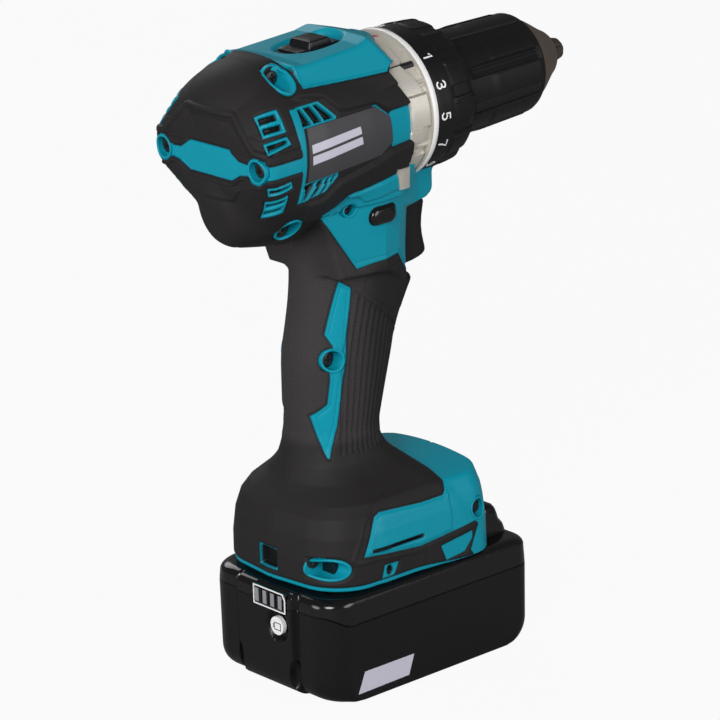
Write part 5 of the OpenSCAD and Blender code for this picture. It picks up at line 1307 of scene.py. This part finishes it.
def printed(points, angle, half):
    """A flat ribbon along the points, laid on the collar's band at an angle from the top; its up runs forward
    and its right goes down the side."""
    pts = np.array(points, float)
    way = np.gradient(pts, axis=0)
    way = way / np.linalg.norm(way, axis=1, keepdims=True)
    side = np.stack([-way[:, 1], way[:, 0]], -1) * half
    pts[0] -= way[0] * half
    pts[-1] += way[-1] * half
    radius = COLLAR_RADIUS + 0.02
    rows = []
    for edge, lift in ((-1, -0.15), (-1, 0.06), (1, 0.06), (1, -0.15)):
        q = pts + side * edge
        a, r = np.radians(angle) + q[:, 0] / radius, radius + lift
        rows.append(from_barrel(np.stack([BAND_MIDDLE + q[:, 1], -r * np.sin(a), r * np.cos(a)], -1)))
    return part(capped(np.stack(rows, 1)))


def sleeve_radius(x, angle, r):
    """Broad lands with a narrow ribbed strip between each pair, fading out at both ends; a round bore."""
    pitch, rib = 40.0, 2.4
    turn = (angle + 6.0) / pitch
    a = np.mod(turn, 1.0) * pitch
    on = step(x, 42.0, 44.0) * step(82.0 - x, 0.0, 2.0) * (r > 19.5)
    strip = step(a, 26.0, 26.8) * step(pitch - a, 0.0, 0.8)
    ribs = 0.5 + 0.5 * np.cos(TAU * a / rib)
    start = 52.0 + 3 * np.mod(np.floor(turn), 2)  # the lands start further forward on every second one
    land = step(a, 0.6, 1.6) * step(25.4 - a, 0, 1.0) * step(x, start, 57.0)
    return r + on * (-0.75 * strip + 0.22 * strip * ribs + 0.35 * land)


def make_sleeve(mats):
    """Keyless chuck's sleeve, tapering a little toward its rounded front edge."""
    prof = [[39.4, 18.5], [39.4, 21.2], [39.8, 21.7], [40.6, 21.85]]
    prof += profile(41.0, 82.4, 0.4, [40, 48, 82], [21.85, 21.6, 20.65])
    prof += [[82.8, 20.4], [83.3, 20.0], [83.4, 19.5], [83.4, 18.5], [60, 18.5]]
    make("chuck_sleeve_skin", [part(ring(lathe(prof, 540, sleeve_radius), flip=True))], "sleeve",
         [mats["plastic"]], sharp=32.0, replaces=("chuck_sleeve",))


def make_nose(mats):
    """Steel nose of the chuck with its bore for the jaws, and the body behind it inside the sleeve."""
    prof = [[70, 16.9], [70, 17.6], [82.0, 17.6], [82.2, 18.9], [83.5, 19.2]]
    prof += profile(84.2, 100.2, 0.6, [84, 86, 88, 90, 92, 94, 96, 98, 100.4],
                    [18.9, 18.1, 17.1, 15.9, 14.6, 13.3, 12.0, 10.8, 9.5])
    prof += [[100.5, 9.3], [100.8, 9.0], [100.8, 8.6], [100.2, 8.5], [97, 9.4], [92, 11.0], [86, 13.2],
             [84, 16.2]]
    make("chuck_nose_skin", [part(ring(lathe(prof, 240), flip=True))], "output",
         [mats["nose"]], sharp=30.0, replaces=("chuck_body",))


# ---- Battery, trigger and small controls ----

SEAM = 33.0  # height of the line between the battery's two cases
CASE_REAR, CASE_FRONT, CASE_HALF = -56.4, 55.4, 37.15  # the battery's ends and half its width


def loops(rows, n=40):
    """Rounded rectangles at heights: rows of (height, back, front, half width, corner radius at back, at
    front). Each has n steps across its ends and four times as many along its sides."""
    out = []
    for z, x0, x1, w, rb, rf in rows:
        pts = []
        corners = ((x1 - rf, w - rf, rf, 0), (x0 + rb, w - rb, rb, 90),
                   (x0 + rb, -w + rb, rb, 180), (x1 - rf, -w + rf, rf, 270))
        for i, (cx, cy, r, start) in enumerate(corners):
            a = np.radians(start + np.linspace(0, 90, 13))
            arc = np.stack([cx + r * np.cos(a), cy + r * np.sin(a)], -1)
            nx, ny, nr, ns = corners[(i + 1) % 4]
            b = np.radians(ns)
            goal = np.array([nx + nr * np.cos(b), ny + nr * np.sin(b)])
            t = np.linspace(0, 1, (n if i % 2 == 0 else 4 * n) + 1)[1:-1, None]
            pts += [arc, arc[-1] + (goal - arc[-1]) * t]
        pts = np.concatenate(pts)
        out.append(np.concatenate([pts, np.full((len(pts), 1), z)], -1))
    return np.array(out)


def rear_relief(grid):
    """Shapes of the battery's rear face: a proud middle, a flute on each side of it with a deeper hollow
    low down, a scoop round the push-button and a pocket for the gauge."""
    lift, flute, edge, hollow, dish, sunk = 4.6, 1.9, 0.9, 4.2, 2.4, 1.3
    grid = grid.copy()
    raised = np.interp(grid[..., 2], [14, SEAM, 40.8], [0, 1, 0])  # the seam climbs at the rear
    grid[..., 2] += lift * step(-grid[..., 0], 44.4, 55.5) * raised
    x, y, z = grid[..., 0], grid[..., 1], grid[..., 2]
    rear = step(-x, 40.0, 46.0)
    side = step(np.abs(y), 15.9, 17.4)
    back = -flute * side - edge * ridge(np.abs(y) - 17.4, 0.5, 0.9)
    lens = 1 - ((np.abs(y) - 16.4) / 2.3) ** 2 - ((z - 9.5) / 6.2) ** 2
    back = back - hollow * np.sqrt(np.clip(lens, 0, 1))
    scoop = np.hypot(y + 7.9, (z - 29.2) / 1.1)
    back = back - dish * step(-scoop, -6.6, -4.8)
    pocket = slot_distance(y, z, -13.7, 5.9, 34.9, 44.2, 0.4)
    back = back - sunk * step(-pocket, -0.1, 0.25)
    grid[..., 0] = grid[..., 0] - back * rear
    return grid


def ribbon(points, x, half, lift):
    """A flat strip of the given half width along points across and up the battery's rear face, raised a
    little from x and mitred at its corners."""
    pts = np.array([(x, y, z) for y, z in points], float)
    way = np.array((-1.0, 0.0, 0.0))
    closed = np.allclose(pts[0], pts[-1]) and len(pts) > 3
    ahead = np.diff(pts, axis=0)
    side = np.cross(way, ahead / np.linalg.norm(ahead, axis=1, keepdims=True))
    before = np.concatenate([side[-1:] if closed else side[:1], side])
    after = np.concatenate([side, side[:1] if closed else side[-1:]])
    mitre = before + after
    mitre = mitre / np.maximum((mitre * before).sum(1, keepdims=True), 0.3)
    rows = [pts + mitre * half * k + way * h for k, h in ((-1, -0.3), (-1, lift), (1, lift), (1, -0.3))]
    return capped(np.stack(rows, 1))


def corner_draw(z, radius):
    """How far a rounded lower edge draws in at height z."""
    return radius - math.sqrt(max(0.0, radius ** 2 - (radius - min(z, radius)) ** 2))


def case_lean(z):
    """How far the lower case leans in at height z."""
    return 0.35 * (1 - z / SEAM)


def make_lower_case(mats):
    """Duller lower case of the battery, bevelled along its bottom."""
    rows = [(0.3, -41.0, 44.0, 33.0, 9, 6), (0.3, -45.2, 46.5, 35.0, 11, 7), (0.0, -45.6, 46.9, 35.6, 11, 7),
            (0.0, -46.2, 47.5, 36.4, 11, 7)]
    for z in [0.25, 0.6, 1.1, 1.8, 2.6, 3.6, 4.8, 6, 7.4, 9, *np.arange(10, 32.4, 0.8)]:
        lean = case_lean(z)
        rows.append((z, CASE_REAR + corner_draw(z, 9.0) + lean, CASE_FRONT - corner_draw(z, 9.5),
                     CASE_HALF - corner_draw(z, 0.9) - lean, 12, 7))
    rows += [(SEAM - 0.35, CASE_REAR, CASE_FRONT, CASE_HALF, 12, 7), (SEAM - 0.1, -56.15, 55.15, 36.9, 12, 7),
             (SEAM - 0.1, -54, 53, 35, 10, 6)]
    make("battery_lower_skin", [part(capped(rear_relief(loops(rows))))], "battery",
         [mats["satin"]], sharp=32.0, replaces=("battery_lower", "battery_screws"))


def make_upper_case(mats):
    """Glossy upper case with a rounded shoulder, the rails that slide into the foot and the latch's hump."""
    rows = [(SEAM + 0.05, -54, 53, 35, 10, 6), (SEAM + 0.05, -56.1, 55.1, 36.85, 12, 7),
            (SEAM + 0.3, -56.35, CASE_FRONT, 37.1, 12, 7)]
    for z in np.arange(33.9, 40.6, 0.6):
        up = z - SEAM
        rows.append((z, CASE_REAR + 0.02 * up, CASE_FRONT - 0.04 * up, CASE_HALF - 0.05 * up, 12, 7))
    shoulder = 3.6
    for a in np.linspace(0.05, 1, 10) * math.pi / 2:
        d = shoulder * (1 - math.cos(a))
        rows.append((40.8 + shoulder * math.sin(a), -56.2 + d, 55.1 - d, 36.8 - d, 12, 7))
    rows += [(44.4, -49, 50, 30, 8, 5)]
    rows += [(z, -45, 28, half, 0.5, 0.5) for z, half in ((44.4, 24), (50.9, 24), (50.9, 27.6), (56.9, 27.6))]
    rows += [(56.9, -38, 20, 20, 0.5, 0.5)]
    hump = [(43.0, 35.5, 53.6, 26.5, 3, 5), (45.0, 35.6, 53.4, 26.3, 3, 5), (47.5, 36.5, 52.6, 26, 3, 5),
            (50, 37.3, 50.6, 25.6, 3, 5), (52.5, 38.0, 49.6, 25.2, 3, 4), (54.8, 38.8, 48.8, 24.8, 3, 4),
            (56.2, 39.4, 47.6, 24.2, 3, 3.5), (56.9, 40.4, 46.0, 23.2, 2.5, 2.5),
            (57.2, 41.5, 44.5, 22, 1.2, 1.2)]
    parts = [part(capped(rear_relief(loops(rows)))), part(capped(loops(hump, 10)))]
    make("battery_upper_skin", parts, "battery", [mats["gloss"]], sharp=32.0,
         replaces=("battery_upper",))


def make_battery_screws(mats):
    """Heads of the four screws in the battery's bottom: (share of the radius, height) turned about each."""
    a = np.arange(40) * TAU / 40
    radius = 2.3
    parts = []
    for x in (-38.0, 40.0):
        for y in (-28.5, 28.5):
            head = [np.stack([x + radius * k * np.cos(a), y + radius * k * np.sin(a), h + 0 * a], -1)
                    for k, h in ((0.05, 0.12), (0.5, 0.06), (0.92, 0.03), (1.0, 0.1), (1.0, 0.6))]
            parts.append(part(capped(np.array(head), flip=True)))
    make("battery_screw_heads", parts, "battery", [mats["screw"]])


def make_gauge_print(mats):
    """Frame and four bars of the charge gauge, and the plain battery sign on its push-button."""
    rear = -57.02
    outline = [[5.3, 43.4], [5.3, 35.7], [-13.3, 35.7], [-13.3, 41.2], [-12.0, 43.4], [5.3, 43.4]]
    parts = [part(ribbon(outline, rear, 0.22, 0.08))]
    parts += [part(ribbon([[y, 42.3], [y, 36.8]], rear, 1.1, 0.06), 1) for y in (3.4, -1.3, -5.9, -10.5)]
    make("gauge_print", parts, "battery", [mats["print"], mats["window"]])
    case = [[-10.6, 30.6], [-7.0, 30.6], [-7.0, 27.8], [-10.6, 27.8], [-10.6, 30.6]]
    tip = [[-6.7, 29.9], [-6.3, 29.9], [-6.3, 28.5], [-6.7, 28.5]]
    parts = [part(ribbon(line, rear - 0.1, 0.17, 0.05)) for line in (case, tip)]
    make("gauge_mark", parts, "gauge_push", [mats["label"]])


def make_battery_panels(mats):
    """Blank pale panel low on each side, lying on the leaning wall."""
    panel = [[-36.6, 12.1], [-10.3, 12.0], [-13.2, 3.7], [-40.2, 3.4]]
    loop, mid = round_outline(panel, 12), np.mean(panel, 0)
    parts = []
    for side in (-1, 1):
        rows = []
        for k, lift in ((0.05, 0.08), (0.5, 0.08), (1.0, 0.08), (1.0, -0.4)):
            q = mid + (loop - mid) * k
            rows.append(np.stack([q[:, 0], side * (CASE_HALF - case_lean(q[:, 1]) + lift), q[:, 1]], -1))
        parts.append(part(capped(np.array(rows), flip=side > 0)))
    make("battery_panels", parts, "battery", [mats["field"]])


def make_trigger(mats):
    """Switch trigger with a hollowed face for the finger."""
    heights = [162.6, 163.2, 163.8, 164.6, 165.6, 166.8, 168.7, 172.2, 176, 180, 183.5, 185.4, 186.5, 187.2,
               187.5]
    fronts = [18.6, 22.6, 25.6, 28.0, 28.7, 28.6, 28.1, 27.3, 26.9, 27.2, 27.9, 28.3, 28.1, 27.3, 25.8]
    back = 13.6
    rows = [(162.6, 14.5, 18.0, 6.4, 1.2, 1.6)]
    for z in (162.6, 162.9, 163.2, 163.8, 164.4, 165.2, 166.0, *np.arange(167, 186, 0.8),
              186, 186.6, 187.1, 187.4, 187.5):
        front = np.interp(z, heights, fronts)
        edge = max(0.0, 163.6 - z) + max(0.0, z - 186.4)
        rows.append((z, back, front, 8.7 - 0.7 * edge ** 2, 1.2, min(4.8, (front - back) * 0.45)))
    rows.append((187.5, 14.5, 22.0, 6.0, 1.2, 2.5))
    make("trigger_skin", [part(capped(loops(rows, 12)))], "trigger", [mats["plastic"]],
         sharp=35.0, replaces=("trigger",))


def make_lever(mats):
    """Push-through reversing lever: a domed button at each end of a bar."""
    a = np.arange(64) * TAU / 64

    def pill(grow, y):
        """Outline of a round-ended slot that is larger by grow."""
        x = -7.9 + np.sign(np.cos(a)) * 3.0 + (3.6 + grow) * np.cos(a)
        return np.stack([x, y + 0 * a, 190.0 + (3.6 + grow) * np.sin(a)], -1)

    dome = ((0, 21.6), (-0.1, 22.4), (-0.5, 23.0), (-1.2, 23.35), (-2.4, 23.5))
    rows = [pill(grow, -y) for grow, y in dome[::-1]] + [pill(grow, y) for grow, y in dome]
    make("direction_lever_skin", [part(capped(np.stack(rows), flip=True))], "direction_lever",
         [mats["gloss"]], sharp=40.0, replaces=("direction_lever",))


def make_selector(mats):
    """Speed selector: plate, step and knob, sliding in the oval hollow."""
    rows = [(29.6, -36, -9, 5.5, 2, 2), (29.6, -37.6, -8.2, 6.8, 3, 3), (31.0, -37.6, -8.2, 6.8, 3, 3),
            (31.3, -37.3, -8.5, 6.5, 3, 3), (31.3, -33.4, -11.2, 6.3, 1.5, 1.5),
            (32.2, -33.2, -11.4, 6.1, 1.5, 1.5), (32.4, -32.9, -11.7, 5.8, 1.5, 1.5),
            (32.4, -27.6, -15.6, 6.2, 1, 1), (33.6, -27.2, -16.2, 6.1, 1, 1), (34.6, -26.8, -16.7, 5.9, 1, 1),
            (34.9, -26.5, -17.0, 5.5, 1, 1), (35.0, -26.0, -17.5, 4.9, 0.8, 0.8)]
    make("speed_selector_skin", [part(capped(from_barrel(loops(rows, 10))))], "speed_selector",
         [mats["satin"]], sharp=30.0, replaces=("speed_selector",))


def make_lamp(mats):
    """Clear window of the work lamp in the front of the switch block."""
    a = np.arange(48) * TAU / 48
    squared = np.sign(np.cos(a)) * np.abs(np.cos(a)) ** 0.6
    rows = [np.stack([x + 0 * a, 5.2 * k * squared, 193.6 + 2.2 * k * np.sin(a)], -1)
            for k, x in ((1.0, 26.0), (1.0, 29.0), (0.9, 29.5), (0.5, 29.9), (0.15, 30.0))]
    make("lamp_window", [part(capped(np.array(rows)))], "drill", [mats["clear"]],
         replaces=("lamp",))


# ---- Operators: one for each piece or group of like pieces ----

_finishes = {}


def finishes():
    """The scene's finishes, made from its sizes and colours when first asked for."""
    if not _finishes:
        scene = bpy.context.scene
        _finishes.update(build_materials(scene.drill_sizes, scene.drill_colours))
    return _finishes


class BuildHousing(bpy.types.Operator):
    """Housing, soft grip and rear cover as one moulded skin each"""
    bl_idname = "drill.housing"
    bl_label = "Housing"

    def execute(self, context):
        for make_piece in (make_cover, make_barrel_skin, make_grip_skin, make_foot_skin, make_wells,
                           make_labels):
            make_piece(finishes())
        return {"FINISHED"}


class BuildFront(bpy.types.Operator):
    """Gear case, torque collar with its numbers, and the chuck's sleeve and nose"""
    bl_idname = "drill.front"
    bl_label = "Gear case and chuck"

    def execute(self, context):
        for make_piece in (make_gear_case, make_collar, make_sleeve, make_nose):
            make_piece(finishes())
        return {"FINISHED"}


class BuildControls(bpy.types.Operator):
    """Trigger, reversing lever, speed selector and lamp"""
    bl_idname = "drill.controls"
    bl_label = "Controls"

    def execute(self, context):
        for make_piece in (make_trigger, make_lever, make_selector, make_lamp):
            make_piece(finishes())
        return {"FINISHED"}


class BuildBattery(bpy.types.Operator):
    """Battery case with its gauge and blank panels"""
    bl_idname = "drill.battery"
    bl_label = "Battery"

    def execute(self, context):
        for make_piece in (make_lower_case, make_upper_case, make_battery_screws, make_gauge_print,
                           make_battery_panels):
            make_piece(finishes())
        return {"FINISHED"}


FINISH_OF = {  # finish for each material slot of the solids
    # the board and the cells inside are painted near black as shadow
    "teal_plastic": "teal", "black_rubber": "rubber", "steel": "steel", "silver_casting": "casting",
    "bronze_steel": "nose", "black_plastic": "plastic", "gloss_black": "gloss", "green_board": "painted_shadow",
    "white_plastic": "white", "grey_window": "window", "cell_wrap": "painted_shadow",
}
FINISH_OF_NODE = {  # and for the nodes that differ from their slot
    "jaw_1": "jaw", "jaw_2": "jaw", "jaw_3": "jaw", "housing_screws": "screw", "rear_screws": "screw",
    # the stator, seen through the vents, is painted near black as shadow
    "gear_case_screws": "screw", "side_nuts": "screw", "battery_lower": "satin", "stator": "painted_shadow",
    "gauge_window": "gloss",
}


class DressSolids(bpy.types.Operator):
    """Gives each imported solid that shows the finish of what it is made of"""
    bl_idname = "drill.solids"
    bl_label = "Packed solids"

    def execute(self, context):
        slots = {row["node"]: row["material_slot"] for row in frame["record"]["subparts"]}
        for name, obj in frame["nodes"].items():
            obj.data.materials.clear()
            obj.data.materials.append(finishes()[FINISH_OF_NODE.get(name, FINISH_OF[slots[name]])])
        return {"FINISHED"}


# ---- Stage ----

AZIMUTH, ELEVATION, ROLL = -42.153, 18.02, 1.338  # of the camera, in degrees
TARGET = (0.02, 0.0, 0.125)  # what it looks at, in metres
LENS = 188.4  # focal length in millimetres for a 36 mm sensor
SHIFT = (-0.0572, -0.0187)  # of the picture across the lens, as shares of its width
LAMPS = (  # name, place, what it points at, width in metres, watts
    ("key", (-1.3, -1.0, 0.95), (0, 0, 0.15), 0.9, 25.0),
    ("side", (0.6, -1.7, 0.5), (0, 0, 0.12), 1.1, 12.0),
    ("back", (0.3, 1.4, 1.1), (0, 0, 0.15), 1.2, 8.0),
    ("rear", (-1.8, 0.4, 0.4), (0, 0, 0.15), 1.0, 12.0),
)


class BuildStage(bpy.types.Operator):
    """Pale floor, soft studio lamps and the camera"""
    bl_idname = "drill.stage"
    bl_label = "Stage"

    def execute(self, context):
        scene = context.scene
        self.floor(scene)
        self.world(scene)
        self.lamps(scene)
        self.camera(scene)
        scene.view_settings.view_transform = "Standard"
        return {"FINISHED"}

    def floor(self, scene):
        """A flat floor that looks nearly white to the camera but throws little light up at the tool."""
        cells, reach, glow, reflect = 9, 3.0, 0.94, 0.3
        mesh = bpy.data.meshes.new("floor")
        x, y = np.meshgrid(np.linspace(-reach, reach, cells), np.linspace(-reach, reach, cells))
        corners = np.stack([x, y, 0 * x], -1).reshape(-1, 3)
        mesh.from_pydata(corners.tolist(), [], sweep_faces(cells, cells, wrap=False).tolist())
        floor = bpy.data.objects.new("floor", mesh)
        scene.collection.objects.link(floor)
        m, tree, shader = new_material("pale_floor", shade(scene.drill_colours.floor, reflect), 0.9)
        seen = add(tree, "ShaderNodeLightPath").outputs["Is Camera Ray"]
        share = ramp(tree, seen, To_Min=0.0, To_Max=glow)
        white = add(tree, "ShaderNodeEmission", Strength=1.0)
        both = add(tree, "ShaderNodeMixShader", [(share, 0), (shader.outputs[0], 1), (white.outputs[0], 2)])
        tree.links.new(both.outputs[0], tree.nodes["Material Output"].inputs[0])
        mesh.materials.append(m)

    def world(self, scene):
        """A white room, dim for everything but the camera, so that dark mouldings keep their depth."""
        scene.world = bpy.data.worlds.new("studio")
        scene.world.use_nodes = True
        tree = scene.world.node_tree
        back = tree.nodes["Background"]
        back.inputs["Color"].default_value = (1, 1, 1, 1)
        seen = add(tree, "ShaderNodeLightPath").outputs["Is Camera Ray"]
        tree.links.new(ramp(tree, seen, To_Min=0.12, To_Max=1.0), back.inputs["Strength"])

    def lamps(self, scene):
        """Broad round lamps from behind the camera, the side, the back and the rear."""
        for name, place, aim, size, watts in LAMPS:
            lamp = bpy.data.lights.new(name, "AREA")
            lamp.shape, lamp.size, lamp.energy = "DISK", size, watts
            obj = bpy.data.objects.new(name, lamp)
            scene.collection.objects.link(obj)
            obj.location = place
            obj.rotation_euler = Vector(np.subtract(aim, place)).to_track_quat("-Z", "Y").to_euler()

    def camera(self, scene):
        """A long lens on the target from the given direction, rolled a little."""
        lens = bpy.data.cameras.new("camera")
        lens.sensor_width, lens.lens, lens.clip_end = 36.0, LENS, 20.0
        lens.shift_x, lens.shift_y = SHIFT
        cam = bpy.data.objects.new("camera", lens)
        scene.collection.objects.link(cam)
        az, el, roll = (math.radians(v) for v in (AZIMUTH, ELEVATION, ROLL))
        back = Vector((math.sin(az) * math.cos(el), -math.cos(az) * math.cos(el), math.sin(el)))
        level = Vector((math.cos(az), math.sin(az), 0))
        above = back.cross(level)
        right = level * math.cos(roll) - above * math.sin(roll)
        up = level * math.sin(roll) + above * math.cos(roll)
        turn = Matrix((right, up, back)).transposed().to_4x4()
        place = Vector(TARGET) + back * scene.drill_sizes.camera_distance
        cam.matrix_world = Matrix.Translation(place) @ turn
        scene.camera = cam


class DrillPanel(bpy.types.Panel):
    """The pieces of the drill, in the order in which they are built"""
    bl_label = "Cordless drill driver"
    bl_idname = "VIEW3D_PT_drill"
    bl_space_type = "VIEW_3D"
    bl_region_type = "UI"
    bl_category = "Drill"

    def draw(self, context):
        for operator in STEPS:
            self.layout.operator(operator.bl_idname)
        for group in (context.scene.drill_sizes, context.scene.drill_colours):
            for key in group.bl_rna.properties.keys():
                if key not in ("rna_type", "name"):
                    self.layout.prop(group, key)


STEPS = (BuildHousing, BuildFront, BuildControls, BuildBattery, DressSolids, BuildStage)
CLASSES = (DrillSizes, DrillColours) + STEPS + (DrillPanel,)


def register():
    """Adds the sizes, colours, operators and panel."""
    for c in CLASSES:
        bpy.utils.register_class(c)
    bpy.types.Scene.drill_sizes = PointerProperty(type=DrillSizes)
    bpy.types.Scene.drill_colours = PointerProperty(type=DrillColours)


def unregister():
    """Takes them away again."""
    del bpy.types.Scene.drill_sizes
    del bpy.types.Scene.drill_colours
    for c in reversed(CLASSES):
        bpy.utils.unregister_class(c)


def main():
    """Builds everything in order."""
    register()
    for operator in STEPS:
        group, name = operator.bl_idname.split(".")
        getattr(getattr(bpy.ops, group), name)()


if __name__ == "__main__":
    main()
